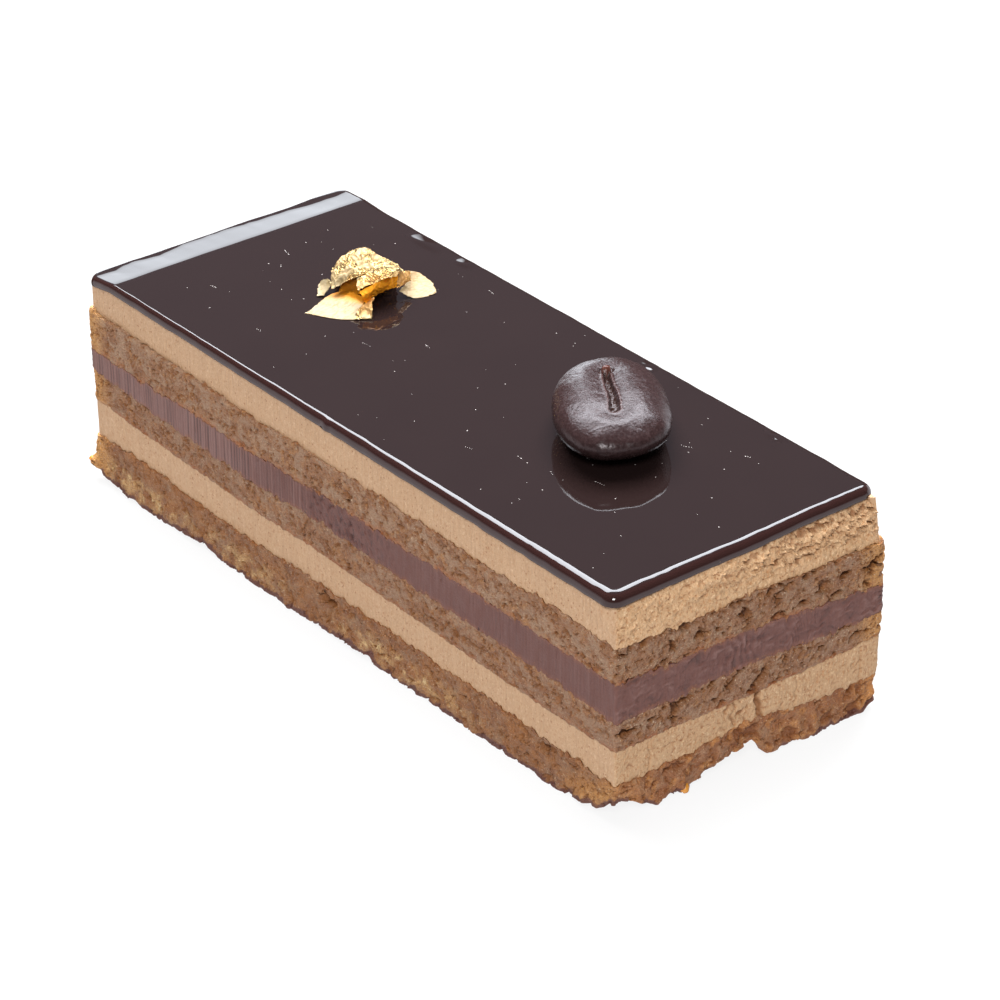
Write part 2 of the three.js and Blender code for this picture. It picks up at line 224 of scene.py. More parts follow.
def noise(points, seed=0):
    """Smooth noise, about -1 to 1, with a grid spacing of 1."""
    cell = np.floor(points).astype(np.int64)
    inside = points - cell
    blend = inside**3 * (inside * (inside * 6 - 15) + 10)
    total = np.zeros(points.shape[:-1])
    for corner in np.ndindex(2, 2, 2):
        slope = fractions(hashed(cell + corner, seed)) * 2 - 1
        weight = np.prod(np.where(corner, blend, 1 - blend), axis=-1)
        total += weight * np.sum(slope * (inside - corner), axis=-1)
    return total * 1.7


def fractal(points, seed=0, octaves=3, roughness=0.5):
    """Noise with finer and weaker noise on top."""
    total, size = 0.0, 1.0
    for octave in range(octaves):
        total = total + size * noise(points * 2.03**octave, seed + 101 * octave)
        size *= roughness
    return total


def pores(points, seed, share, radii):
    """Bowls from 0 at their rim to 1 at their middle, in that share of the grid's cells."""
    cell = np.floor(points).astype(np.int64)
    depth = np.zeros(points.shape[:-1])
    for offset in np.ndindex(3, 3, 3):
        near = cell + offset - 1
        middle = near + fractions(hashed(near, seed))
        kind = fractions(hashed(near, seed + 7))
        radius = radii[0] + (radii[1] - radii[0]) * kind[..., 1] ** 2
        distance = np.linalg.norm(points - middle, axis=-1)
        bowl = np.clip(1 - (distance / radius) ** 2, 0, 1)
        depth = np.where(kind[..., 0] < share, np.maximum(depth, bowl), depth)
    return depth


def grains(points, seed):
    """Rounded grains packed together, one to a grid cell: height from 0 in the creases to 1, and a number
    from 0 to 1 that belongs to each grain."""
    cell = np.floor(points).astype(np.int64)
    nearest = np.full(points.shape[:-1], 9.0)
    second, tone = nearest.copy(), np.zeros_like(nearest)
    for offset in np.ndindex(3, 3, 3):
        near = cell + offset - 1
        distance = np.linalg.norm(points - near - fractions(hashed(near, seed)), axis=-1)
        closer = distance < nearest
        second = np.where(closer, nearest, np.minimum(second, distance))
        tone = np.where(closer, fractions(hashed(near, seed + 7))[..., 0], tone)
        nearest = np.minimum(nearest, distance)
    return np.clip((second - nearest) * 1.6, 0, 1) ** 0.6 * (1 - 0.35 * nearest), tone


def warped(points, amount, size, seed):
    """Points moved about by noise, so that patterns drawn with them are irregular."""
    return points + amount * np.stack([noise(points / size, seed + k) for k in range(3)], -1)


def smoothstep(value, low, high):
    t = np.clip((value - low) / (high - low), 0, 1)
    return t * t * (3 - 2 * t)


def hump(distance, radius):
    """1 at distance 0, falling smoothly to 0 at radius."""
    return np.clip(1 - (distance / radius) ** 2, 0, 1) ** 2


# ---------------------------------------------------------------- meshes


def make_object(name, points, faces, material, attributes=None, smooth_angle=None):
    """A mesh object from points in millimetres. attributes are numbers for its points that its material
    reads."""
    mesh = bpy.data.meshes.new(name)
    mesh.from_pydata((np.asarray(points) * MM).tolist(), [], faces)
    for key, values in (attributes or {}).items():
        layer = mesh.attributes.new(key, "FLOAT", "POINT")
        layer.data.foreach_set("value", np.asarray(values, np.float32).ravel())
    mesh.shade_smooth()
    if smooth_angle is not None:
        mesh.set_sharp_from_angle(angle=math.radians(smooth_angle))
    mesh.update()
    mesh.materials.append(material)
    piece = bpy.data.objects.new(name, mesh)
    bpy.context.scene.collection.objects.link(piece)
    return piece


def grid_faces(rows, columns, closed=True):
    """Quads over rows of points, each row running round the piece (closed) or across it."""
    r, c = np.mgrid[0:rows - 1, 0:columns if closed else columns - 1]
    n = (c + 1) % columns
    quads = np.stack([r * columns + c, r * columns + n, (r + 1) * columns + n, (r + 1) * columns + c], -1)
    return quads.reshape(-1, 4).tolist()


def stack_faces(rows, columns):
    """Faces of a closed stack of rings from the underside up, with one face over each end."""
    last = (rows - 1) * columns
    return [*grid_faces(rows, columns), list(range(columns))[::-1], list(range(last, last + columns))]


def blob(centre, size, seed, bump, detail):
    """Points and faces of a small uneven lump."""
    shape = bmesh.new()
    bmesh.ops.create_icosphere(shape, subdivisions=detail, radius=1)
    points = np.array([v.co for v in shape.verts])
    faces = [[v.index for v in f.verts] for f in shape.faces]
    shape.free()
    points = points * (1 + bump * noise(points * 1.3 + seed * 3.7, seed))[:, None]
    return points * size + np.asarray(centre), faces


def joined(parts):
    """One set of points and faces from several."""
    points, faces, start = [], [], 0
    for part_points, part_faces in parts:
        points.append(part_points)
        faces += [[i + start for i in face] for face in part_faces]
        start += len(part_points)
    return np.concatenate(points), faces


# ---------------------------------------------------------------- outline of the cake


def rounded_outline(half_length, half_width, radius, steps):
    """Points round a rectangle with rounded corners, anticlockwise from the start of its -Y side, as a dict
    of arrays: x, y, the outward normal nx, ny, and turn, which counts the sides passed (0 to 1 along -Y, 1 to
    2 along +X, and so on)."""
    signs = [(-1, -1), (1, -1), (1, 1), (-1, 1)]
    columns = []
    for side, step in enumerate(steps):
        heading = side * math.pi / 2
        out = np.array([math.sin(heading), -math.cos(heading)])
        inner = [half_length - radius, half_width - radius]
        start, end = (np.array(signs[k % 4]) * inner for k in (side, side + 1))
        count = round(np.linalg.norm(end - start) / step)
        for t in np.arange(count) / count:
            columns.append([*(start + (end - start) * t + radius * out), *out, side + t])
        count = max(4, round(radius * math.pi / 2 / step))
        for t in np.arange(count) / count:
            angle = heading - math.pi / 2 * (1 - t)
            out = np.array([math.cos(angle), math.sin(angle)])
            columns.append([*(end + radius * out), *out, side + 1])
    return dict(zip(("x", "y", "nx", "ny", "turn"), np.array(columns).T))


outline = rounded_outline(HALF_LENGTH, HALF_WIDTH, CORNER, FACE_STEPS)
flat_outline = np.stack([outline["x"], outline["y"], np.zeros_like(outline["x"])], -1)


def facing(side):
    """How far each column of the outline faces a side: 0 to 3 for -Y, +X, +Y and -X."""
    heading = side * math.pi / 2
    return np.clip(outline["nx"] * math.sin(heading) - outline["ny"] * math.cos(heading), 0, 1)


def level(name):
    """Height of a level all round the outline."""
    spots = LEVELS[name]
    stations = np.concatenate([np.linspace(0, 1, len(spots["front"])), 1 + np.arange(1, 5) / 4, [3.0]])
    heights = [*spots["front"], *spots["right"], spots["far"]]
    turns = [outline["turn"] + shift for shift in (-0.02, 0, 0.02)]
    smooth = np.mean([np.interp(turn, stations, heights, period=4) for turn in turns], axis=0)
    if name == "upper_cream_top":
        return smooth
    seed = list(LEVELS).index(name) * 11
    hidden = smoothstep(outline["turn"], 2.0, 2.2) - smoothstep(outline["turn"], 3.9, 4.0)
    calm = 0.5 if name == "lower_cream_top" else 1.0
    wander = (0.1 + 0.28 * hidden) * noise(flat_outline / 3.4, seed)
    ragged = 0.16 * fractal(flat_outline / 1.5, seed + 1, 2, 0.6)
    ragged = ragged + 0.17 * fractal(flat_outline / 0.62, seed + 2, 2, 0.7)
    treads = 3 * fractal(flat_outline / 1.2, seed + 4, 2)
    ragged = ragged + 0.13 * (np.floor(treads) + smoothstep(treads % 1, 0.25, 0.75))
    pockets = smoothstep(fractal(flat_outline / 1.5, seed + 3, 3, 0.6), 0.15, 0.75) * facing(1)
    return smooth + calm * (wander + ragged * (0.9 - 0.2 * facing(1)) - 0.45 * pockets)


def lower_edge():
    """Height of the cake's lower edge all round: on the table, but for the crumbled places."""
    turns, heights = [], []
    for side, spots in enumerate(LOWER_EDGE):
        for distance, height in spots:
            turns.append(side + distance / (WIDTH if side % 2 else LENGTH))
            heights.append(height)
    coarse = np.interp(outline["turn"], turns, heights, period=4)
    chunks = smoothstep(fractal(flat_outline / 2.8, 5, 2), 0.1, 0.7)
    chips = smoothstep(fractal(flat_outline / 1.2, 6, 2), 0.15, 0.8)
    return np.maximum(0.02, coarse * (1 + 0.15 * noise(flat_outline / 1.6, 7)) + 0.3 * chunks + 0.16 * chips)


# ---------------------------------------------------------------- layers


def inner_ring(height, depth=CAP_DEPTH):
    """The outline at a height, drawn in by a depth, as one row of points."""
    x, y = outline["x"] * (1 - 2 * depth / LENGTH), outline["y"] * (1 - 2 * depth / WIDTH)
    return np.stack([x, y, height * np.ones_like(x)], -1)[None]


def meet_at_corner(face, out):
    """Draws each face in at the +X -Y corner as far as the other is set back, so that neither sticks out."""
    x, y, nx, ny = (outline[key] for key in ("x", "y", "nx", "ny"))
    last_side, first_end = np.argmax(outline["turn"] >= 1) - 1, np.argmax(nx > 0.999)
    near_end = smoothstep(x, HALF_LENGTH - 6.5, HALF_LENGTH - CORNER) * (y < 0)
    near_side = smoothstep(-y, HALF_WIDTH - 6.0, HALF_WIDTH - CORNER) * (x > 0)
    face[..., 0] -= np.clip(-out[:, [first_end]], 0, None) * (1 - nx) * near_end
    face[..., 1] += np.clip(-out[:, [last_side]], 0, None) * (1 + ny) * near_side


def build_layer(name, piece_name, low, high, relief, material):
    """One layer between two heights round the outline. relief(points, t) gives how far the cut face stands
    out of its plane and the numbers its material reads; t runs from 0 at the layer's lower edge to 1 at its
    upper edge. Where two layers meet, their faces come nearly level."""
    on_table, under_glaze = name == "sponge_base", name == "buttercream_upper"
    rows = max(4, round(float(np.mean(high - low)) / ROW_STEP)) + 1
    t = np.linspace(0, 1, rows)[:, None] * np.ones_like(low)
    x, y, nx, ny = (np.broadcast_to(outline[key], t.shape) for key in ("x", "y", "nx", "ny"))
    flat = np.stack([x, y, low + (high - low) * t], -1)
    out, attributes = relief(flat, t)
    below = 9.0 if on_table else (high - low) * t
    above = 9.0 if under_glaze else (high - low) * (1 - t)
    out = out * (0.3 + 0.7 * smoothstep(np.minimum(below, above), 0.0, 0.45))
    out = out + np.interp(outline["turn"], [0, 1, 2, 3], OUTSETS[name], period=4)
    face = flat + np.stack([nx * out, ny * out, np.zeros_like(out)], -1)
    if under_glaze:
        meet_at_corner(face, out)
    under = [inner_ring(low)]
    if on_table:  # hollowed a little behind its lower edge, so that the broken places are open
        roof = np.max([np.roll(low, shift) for shift in range(-ROOF_REACH, ROOF_REACH + 1, 4)], axis=0)
        under = [inner_ring(0.0, 8.0), inner_ring(roof, 5.0), inner_ring(roof, 1.3)]
    rings = np.concatenate([*under, face, inner_ring(high)])
    repeats = [len(under) + 1] + [1] * (rows - 2) + [2]
    values = {key: np.repeat(value, repeats, axis=0) for key, value in attributes.items()}
    faces = stack_faces(len(rings), len(outline["x"]))
    piece = make_object(piece_name, rings.reshape(-1, 3), faces, material, values, smooth_angle=72)
    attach(piece, "root")
    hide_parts(name)


def holes_at(points):
    """Depth of the larger holes, and how far inside one each point is, from 0 to 1."""
    depth, inside = np.zeros(points.shape[:-1]), np.zeros(points.shape[:-1])
    moved = warped(points, 0.55, 0.9, 77)
    for x, y, z, half_width, half_height, deep in HOLES:
        across = np.hypot(moved[..., 0] - x, moved[..., 1] - y) / half_width
        bowl = np.clip(1.1 - across**2 - ((moved[..., 2] - z) / half_height) ** 2, 0, 1)
        depth = np.maximum(depth, deep * bowl**0.6)
        inside = np.maximum(inside, bowl)
    return depth, inside


def corner_distance(points, x_side, y_side):
    """Distance, seen from above, from the cake's corner on those sides (1 or -1)."""
    return np.hypot(points[..., 0] - x_side * HALF_LENGTH, points[..., 1] - y_side * HALF_WIDTH)


def crumb_relief(seed, coarse=1.0, end_hollows=0.85):
    """Cut sponge: packed grains with crannies between them, smeared nearly shut by the knife in places."""
    openness = 0.5 + end_hollows * facing(1) + 0.5 * facing(3) + 0.3 * facing(2)

    def relief(points, t):
        moved = warped(points, 0.3, 0.8, seed + 20)
        grain, tone = grains(moved / (0.64 * coarse), seed + 1)
        fine, _ = grains(moved / 0.36, seed + 2)
        smear = smoothstep(fractal(points / [1.9, 1.9, 1.5], seed + 3, 3, 0.6), -0.2, 0.5)
        smear = smear * (1 - 0.3 * facing(1))
        cranny = fractal(moved / (np.array([0.7, 0.7, 0.45]) * coarse), seed + 4, 3, 0.7)
        cranny = smoothstep(cranny, 0.36, 0.7)
        cavity = fractal(moved / (np.array([2.2, 2.2, 1.4]) * coarse), seed + 5, 3, 0.6) + 0.14 * facing(1)
        cavity = smoothstep(cavity, 0.48, 0.85)
        named, inside = holes_at(points)
        lumps = 0.12 * coarse * fractal(points / [2.8, 2.8, 2.0], seed + 6, 2)
        closed = 1 - 0.75 * smear
        depth = np.maximum.reduce([0.3 * cranny * closed, 0.7 * cavity * openness, named])
        out = lumps + (0.13 * coarse * grain + 0.06 * fine) * closed + 0.06 * smear - depth + 0.02
        # Painted shade: crannies, cavities, the larger holes and the creases between grains, darkened in the
        # colour.
        shaded = [0.8 * cranny * (1 - 0.5 * smear), cavity * openness, inside, 0.4 * (1 - grain) * closed]
        hollow_shade = np.clip(np.maximum.reduce(shaded), 0, 1)
        # Amber at the thin corners: partly the crumb's own colour, partly painted glow of light through it.
        thin = hump(corner_distance(points, 1, 1), 4.8)
        thin = np.maximum(thin, hump(corner_distance(points, -1, -1), 4.2))
        end = facing(1) * np.ones_like(t)
        return out, {"hollow_shade": hollow_shade, "grain": tone, "smear": smear, "rise": t, "thin": thin, "end": end}

    return relief


def base_relief(seed):
    """The base sponge: coarser and lumpier, broken away at its lower edge, with a flake standing off the -X
    -Y corner."""
    crumb = crumb_relief(seed, 1.3, end_hollows=0.25)
    edge = lower_edge()
    flake = np.array([-53.0, -20.2, 2.3])

    def relief(points, t):
        out, attributes = crumb(points, t)
        x, y = points[..., 0], points[..., 1]
        above = points[..., 2] - edge
        clumps = (0.16 + 0.28 * facing(1)) * fractal(points / [2.2, 2.2, 2.6], seed + 30, 2)
        broken = smoothstep(edge, 0.5, 2.0) * (1 - smoothstep(above, 0.0, 1.6))
        distance = np.linalg.norm((points - flake) * [1, 1, 1.8], axis=-1)
        out = out + clumps + 0.4 * (1 - t) ** 2 * facing(0) - 0.35 * broken + 1.1 * hump(distance, 2.2)
        patches = noise(points / [3.5, 3.5, 9.0], seed + 31) + 0.5 - facing(1) * (0.5 + hump(y - 0.5, 6.5))
        patches = smoothstep(patches, -0.3, 0.15) + hump(y - 13, 6) * facing(1)
        ragged = 0.85 + 0.7 * fractal(points / [1.3, 1.3, 1.6], seed + 32, 3)
        height = above / np.maximum(ragged, 0.2)
        attributes["crust"] = np.clip(patches, 0, 1) * (1 - smoothstep(height, 0.2, 0.95))
        pale = (1.3 * hump(x + 42, 16) + hump(x + 20, 14) + 1.2 * hump(x - 14, 20)) * facing(0)
        pale = pale + 0.3 * hump(y - 8, 13) * facing(1) + 0.6 * facing(2)
        veins = smoothstep(fractal(points / [2.2, 2.2, 1.8], seed + 33, 2), -0.45, 0.35)
        attributes["core"] = np.clip(pale * veins * hump(above - 2.0, 2.3), 0, 1)
        # Amber near the +X -Y corner and over the +X end: partly the soaked crumb's own colour, partly
        # painted glow.
        soaked = 0.8 * hump(np.hypot(x - 50, y + 20), 8) * hump(above - 1, 3.5)
        amber = smoothstep(fractal(points / 1.7, seed + 34, 2), 0.05, 0.6) * facing(1)
        attributes["thin"] = np.maximum.reduce([attributes["thin"], soaked, 0.7 * amber])
        return out, attributes

    return relief


def cream_relief(seed, torn=False):
    """Cut buttercream: fine upright drag marks and pinholes; the +X end is scraped and fibrous. Torn cream
    falls back in ledges towards its upper edge there, and the other cream has upright splits."""
    end = facing(1)

    def relief(points, t):
        along = points[..., 1]
        drag = 0.03 * fractal(points / [0.4, 0.4, 7], seed, 3) * (1 - 0.8 * end)
        out = drag + 0.08 * noise(points / [7, 7, 4], seed + 1)
        moved = warped(points, 0.5, 1.1, seed + 8)
        fibres = fractal(moved / [1.0, 1.6, 0.4], seed + 2, 4, 0.66)
        rough = 1.6 if torn else 1.0
        out = out + end * rough * (0.1 * fibres + 0.045 * fractal(moved / 0.34, seed + 9, 2))
        pinholes = pores(points / 0.8, seed + 3, 0.3, (0.08, 0.19))
        out = out - 0.12 * pinholes
        cracks = np.zeros_like(out)
        if torn:
            share = end * (0.3 + 0.7 * smoothstep(along, -12, 10)) * smoothstep(t, 0.0, 0.5)
            ledges = fractal(moved / [1.6, 3.0, 0.62], seed + 4, 4, 0.62)
            steps = ledges + 0.22 * np.sin(2 * math.pi * ledges * 2.2)
            covered = smoothstep(t, 0.74, 0.94)  # the part that tucks in under the glaze
            out = out + 0.7 * share * steps * (1 - 0.75 * covered) - 0.5 * end * covered
            out = out - end * t * (0.25 + 0.9 * smoothstep(along, -4, 16)) - 0.15 * end * t**2
            out = out - 0.8 * t * hump(corner_distance(points, 1, 1), 7) * facing(2)
            out = out - 0.6 * smoothstep(t, 0.25, 0.85) * hump(corner_distance(points, 1, -1), 2.6)
            hollows = end * share * smoothstep(-ledges, 0.05, 0.6)
            out = out + 0.45 * facing(3) * hump(along + 14, 6) * t
        else:
            for place, half_width, depth, low, high, sway in SPLITS:
                line = place + sway * noise(points / [1, 50, 1.1] + place, seed + 6)
                ends = smoothstep(points[..., 2], low - 0.5, low)
                ends = ends * (1 - smoothstep(points[..., 2], high, high + 0.4))
                cracks = np.maximum(cracks, depth * hump(along - line, half_width * 2.2) * ends * end)
            out = out - cracks
            out = out + 0.22 * end * smoothstep(along, 1.3, 1.9)
            loose = end * hump(along + 1.8, 4.2)
            hollows = loose * smoothstep(fractal(moved / 1.1, seed + 7, 3), 0.1, 0.6)
            out = out - 0.35 * hollows
        # Painted shade: the sunken fibres of the +X end, the pinholes, hollows and splits, darkened in the
        # colour.
        low_fibre_shade = end * smoothstep(-fibres, 0.25, 1.0)
        hollow_shade = np.clip(np.maximum.reduce([pinholes, 0.7 * low_fibre_shade, 0.8 * hollows, 1.4 * cracks]), 0, 1)
        return out, {"hollow_shade": hollow_shade, "end": end * np.ones_like(t)}

    return relief


def ganache_relief(seed):
    """Cut ganache: upright knife marks along the side, scratches near its middle, chatter marks at the +X
    end."""
    side, end = facing(0) + facing(2), facing(1) + facing(3)

    def relief(points, t):
        x, y, z = points[..., 0], points[..., 1], points[..., 2]
        middle = hump(x - 2, 13)
        spacing = x / 0.6 + 0.8 * noise(points / [4, 4, 30], seed + 8)
        marks = 0.55 * np.sin(2 * math.pi * spacing) + 0.8 * fractal(points / [0.5, 0.5, 30], seed, 2)
        strength = 0.2 + 0.8 * smoothstep(-x, -2, 14) + 0.25 * smoothstep(x, 20, 40)
        strength = strength * (0.6 + 0.7 * smoothstep(noise(points / [9, 9, 30], seed + 9), -0.5, 0.5))
        upright = side * strength * marks * (1 - 0.7 * middle)
        slanted = np.stack([x + 0.8 * z, y, z - 0.8 * x], -1)
        scratches = fractal(slanted / [0.42, 1, 2.6], seed + 1, 3)
        rough = side * middle * (scratches - 1.1 * smoothstep(fractal(points / 0.9, seed + 2, 3), 0.2, 0.7))
        bend = y * 1.05 + 0.28 * z + 1.1 * noise(points / [1, 3, 2.2], seed + 3)
        fine = np.sin(2 * math.pi * bend / 0.5) * hump(y - 7.3, 3.4)
        coarse = np.sin(2 * math.pi * bend / 1.1) * hump(y + 2, 4)
        patchy = smoothstep(noise(points / [1, 2.4, 1.4], seed + 10), -0.6, 0.3)
        chatter = (fine + coarse) * patchy * facing(1)
        smear = fractal(warped(points, 0.6, 1.5, seed + 7) / [1, 2.6, 0.6], seed + 4, 4, 0.6)
        bubbles = pores(points / 2.4, seed + 6, 0.12, (0.08, 0.16))
        out = 0.05 * upright + 0.16 * rough + end * (0.09 * chatter + 0.13 * smear) - 0.3 * bubbles
        # Painted light and shade: lighter where the marks and smears stand out, darker where they sink.
        shade = 0.5 - 0.5 * np.clip(1.3 * upright + 0.8 * rough + end * (0.8 * smear + 0.5 * chatter), -1, 1)
        # Paler towards -X along the -Y side.
        paler_towards_minus_x = facing(0) * smoothstep(-x, 12, 26)
        return out, {"hollow_shade": bubbles, "rise": t, "relief_shading": shade, "paler_towards_minus_x": paler_towards_minus_x, "scraped": side * middle}

    return relief


# ---------------------------------------------------------------- node materials


def linear(*colour):
    """A colour given as 0 to 255 on screen, as the shader needs it."""
    shares = [value / 255 for value in colour]
    return (*[c / 12.92 if c <= 0.04045 else ((c + 0.055) / 1.055) ** 2.4 for c in shares], 1.0)


class Tree:
    """The nodes of a material or the world, written as nested calls: a socket given as an input is linked,
    anything else is set."""

    def __init__(self, owner):
        owner.use_nodes = True
        self.owner, self.tree = owner, owner.node_tree
        self.tree.nodes.clear()

    def add(self, kind, output=0, inputs=None, **settings):
        node = self.tree.nodes.new("ShaderNode" + kind)
        for key, value in settings.items():
            setattr(node, key, value)
        for key, value in (inputs or {}).items():
            if isinstance(value, bpy.types.NodeSocket):
                self.tree.links.new(value, node.inputs[key])
            else:
                node.inputs[key].default_value = value
        return node.outputs[output] if len(node.outputs) else None

    def place(self, scale):
        """Position on the cake, so that a texture's grid has so many millimetres (one number, or three)."""
        scales = [1 / MM / s for s in np.broadcast_to(scale, 3)]
        return self.add("Mapping", inputs={"Vector": self.add("TexCoord", "Object"), "Scale": scales})

    def noise(self, scale, detail=3.0, roughness=0.55, distortion=0.0):
        look = {"Detail": detail, "Roughness": roughness, "Distortion": distortion}
        return self.add("TexNoise", "Fac", {"Vector": self.place(scale), "Scale": 1.0, **look})

    def cells(self, scale):
        return self.add("TexVoronoi", "Distance", {"Vector": self.place(scale), "Scale": 1.0})

    def attribute(self, name):
        return self.add("Attribute", "Fac", attribute_name=name)

    def math(self, operation, a, b=0.0):
        return self.add("Math", inputs={0: a, 1: b}, operation=operation)

    def plus(self, a, b, amount):
        """a with so much of b added."""
        return self.math("ADD", a, self.math("MULTIPLY", b, amount))

    def ramp(self, value, low, high, to_low=0.0, to_high=1.0, kind="SMOOTHSTEP"):
        inputs = {"Value": value, "From Min": low, "From Max": high, "To Min": to_low, "To Max": to_high}
        return self.add("MapRange", "Result", inputs, interpolation_type=kind)

    def mix(self, share, a, b, blend_type="MIX"):
        """Colour a where share is 0, b where it is 1."""
        inputs = {"Factor": share, 6: a, 7: b}
        return self.add("Mix", 2, inputs, data_type="RGBA", blend_type=blend_type)

    def lay(self, tone, colour, share, strength=None):
        """tone with a screen colour laid over it as far as share says, times strength where that is given."""
        if strength is not None:
            share = self.math("MULTIPLY", share, strength)
        return self.mix(share, tone, linear(*colour))

    def bump(self, height, distance):
        return self.add("Bump", inputs={"Height": height, "Distance": distance * MM})

    def finish(self, inputs):
        shader = self.add("BsdfPrincipled", inputs=inputs)
        self.add("OutputMaterial", inputs={"Surface": shader})
        return self.owner


def material_tree(name):
    return Tree(bpy.data.materials.new(name))


def sponge_material(name, side_tint, end_tint, crust=False):
    """Soaked almond sponge: each grain has its own brown and the knife has left paler smears. Painted shade
    darkens the crannies, holes and creases between grains, tiny painted glints catch the light, and the
    thin corners get an amber that is partly the crumb's own and partly painted glow. The base also has a
    pale core and a dark baked skin underneath. The tints are those of the long sides and of the +X end;
    the end's is partly painted light and shade."""
    tree = material_tree(name)
    grain, end, hollow_shade = tree.attribute("grain"), tree.attribute("end"), tree.attribute("hollow_shade")
    crumb = tree.mix(tree.ramp(grain, 0.1, 0.45), linear(128, 86, 56), linear(154, 112, 80))
    crumb = tree.lay(crumb, (166, 118, 74), tree.ramp(grain, 0.6, 0.78))
    crumb = tree.lay(crumb, (164, 132, 104), tree.ramp(grain, 0.8, 0.95))
    crumb = tree.lay(crumb, (146, 107, 78), tree.ramp(tree.noise((2.4, 2.4, 1.8)), 0.4, 0.62), 0.5)
    crumb = tree.lay(crumb, (160, 129, 104), tree.attribute("smear"), 0.8)
    crumb = tree.mix(tree.math("SUBTRACT", 1.0, end), crumb, side_tint, "MULTIPLY")
    if crust:
        core = tree.attribute("core")
        crumb = tree.lay(crumb, (152, 98, 48), tree.ramp(tree.noise((3.2, 3.2, 2.4)), 0.38, 0.6), 0.6)
        crumb = tree.lay(crumb, (192, 150, 98), core, 0.85)
        pieces = tree.ramp(tree.noise((0.9, 0.9, 0.8), 3, 0.6), 0.54, 0.64)
        crumb = tree.lay(crumb, (208, 178, 130), pieces, core)
    # Amber where the crumb is thin: partly its own colour, partly painted glow of light through it.
    crumb = tree.lay(crumb, (206, 150, 84), tree.attribute("thin"), 0.8)
    freckles = tree.ramp(tree.noise((0.3, 0.3, 0.24), 3, 0.65), 0.5, 0.64)
    crumb = tree.lay(crumb, (128, 76, 36), freckles, 0.65)
    # Painted highlights: tiny pale glints, more of them on the +X end.
    glints = tree.ramp(tree.noise((0.24, 0.24, 0.2), 2), 0.64, 0.7)
    crumb = tree.lay(crumb, (220, 198, 170), glints, tree.plus(0.45, end, 0.4))
    # Painted shade: the hollows turn orange-brown, the deepest dark brown.
    crumb = tree.lay(crumb, (136, 84, 38), tree.ramp(hollow_shade, 0.15, 0.6, 0.0, 0.8))
    crumb = tree.lay(crumb, (82, 44, 20), tree.ramp(hollow_shade, 0.6, 1.0, 0.0, 0.75))
    crumb = tree.mix(end, crumb, end_tint, "MULTIPLY")
    if crust:
        crumb = tree.lay(crumb, (88, 50, 44), tree.ramp(tree.attribute("crust"), 0.1, 0.8, 0.0, 0.9))
    else:
        low = tree.ramp(tree.attribute("rise"), 0.02, 0.2, 1.0, 0.0)
        skin = tree.math("MULTIPLY", low, tree.ramp(tree.noise((1.8, 1.8, 1.0)), 0.42, 0.6))
        crumb = tree.lay(crumb, (158, 94, 52), skin, 0.6)
    height = tree.plus(tree.noise((0.28, 0.28, 0.22), 4, 0.65), tree.cells((0.4, 0.4, 0.32)), 0.6)
    return tree.finish({
        "Base Color": crumb,
        "Roughness": tree.ramp(tree.noise((0.7, 0.7, 0.5)), 0.3, 0.7, 0.36, 0.62),
        "Specular IOR Level": 0.45,
        "Normal": tree.bump(height, 0.2),
    })


def cream_material(name, end_tint):
    """Coffee buttercream: even tan, with faint upright drag marks. Pinholes, hollows and splits are darkened
    with painted shade, and pale specks are painted highlights. end_tint is the +X end's, partly painted
    light and shade."""
    tree = material_tree(name)
    end = tree.attribute("end")
    tone = tree.mix(tree.noise((6, 6, 4), 2), linear(200, 164, 130), linear(192, 155, 119))
    tone = tree.lay(tone, (176, 137, 102), tree.ramp(tree.noise((0.4, 0.4, 5)), 0.4, 0.65), 0.3)
    grain = tree.ramp(tree.noise((0.4, 0.4, 0.5), 4, 0.7), 0.5, 0.66)
    tone = tree.lay(tone, (172, 120, 76), grain, tree.ramp(end, 0.0, 1.0, 0.4, 0.8))
    # Painted highlights: pale specks, stronger on the +X end.
    highlight_specks = tree.ramp(tree.noise((0.3, 0.3, 0.4), 3, 0.6), 0.56, 0.68)
    tone = tree.lay(tone, (222, 192, 158), highlight_specks, tree.ramp(end, 0.0, 1.0, 0.45, 0.75))
    tone = tree.lay(tone, (170, 122, 80), tree.ramp(tree.noise((0.2, 0.2, 0.55), 2), 0.6, 0.7), 0.5)
    tone = tree.mix(end, tone, end_tint, "MULTIPLY")
    # Painted shade: brown spots standing for pinholes, then the hollows, splits and sunken fibres from the
    # relief.
    spots = tree.ramp(tree.cells(0.65), 0.1, 0.26, 1.0, 0.0)
    spots = tree.math("MULTIPLY", spots, tree.ramp(tree.noise(1.1, 1), 0.46, 0.56))
    tone = tree.lay(tone, (150, 96, 54), spots, 0.8)
    tone = tree.lay(tone, (140, 92, 54), tree.ramp(tree.attribute("hollow_shade"), 0.1, 0.8, 0.0, 0.8))
    height = tree.plus(tree.noise((0.26, 0.26, 0.3), 3, 0.6), tree.noise((0.25, 0.25, 4), 2), 0.8)
    return tree.finish({
        "Base Color": tone,
        "Roughness": 0.55,
        "Specular IOR Level": 0.4,
        "Normal": tree.bump(height, 0.12),
    })


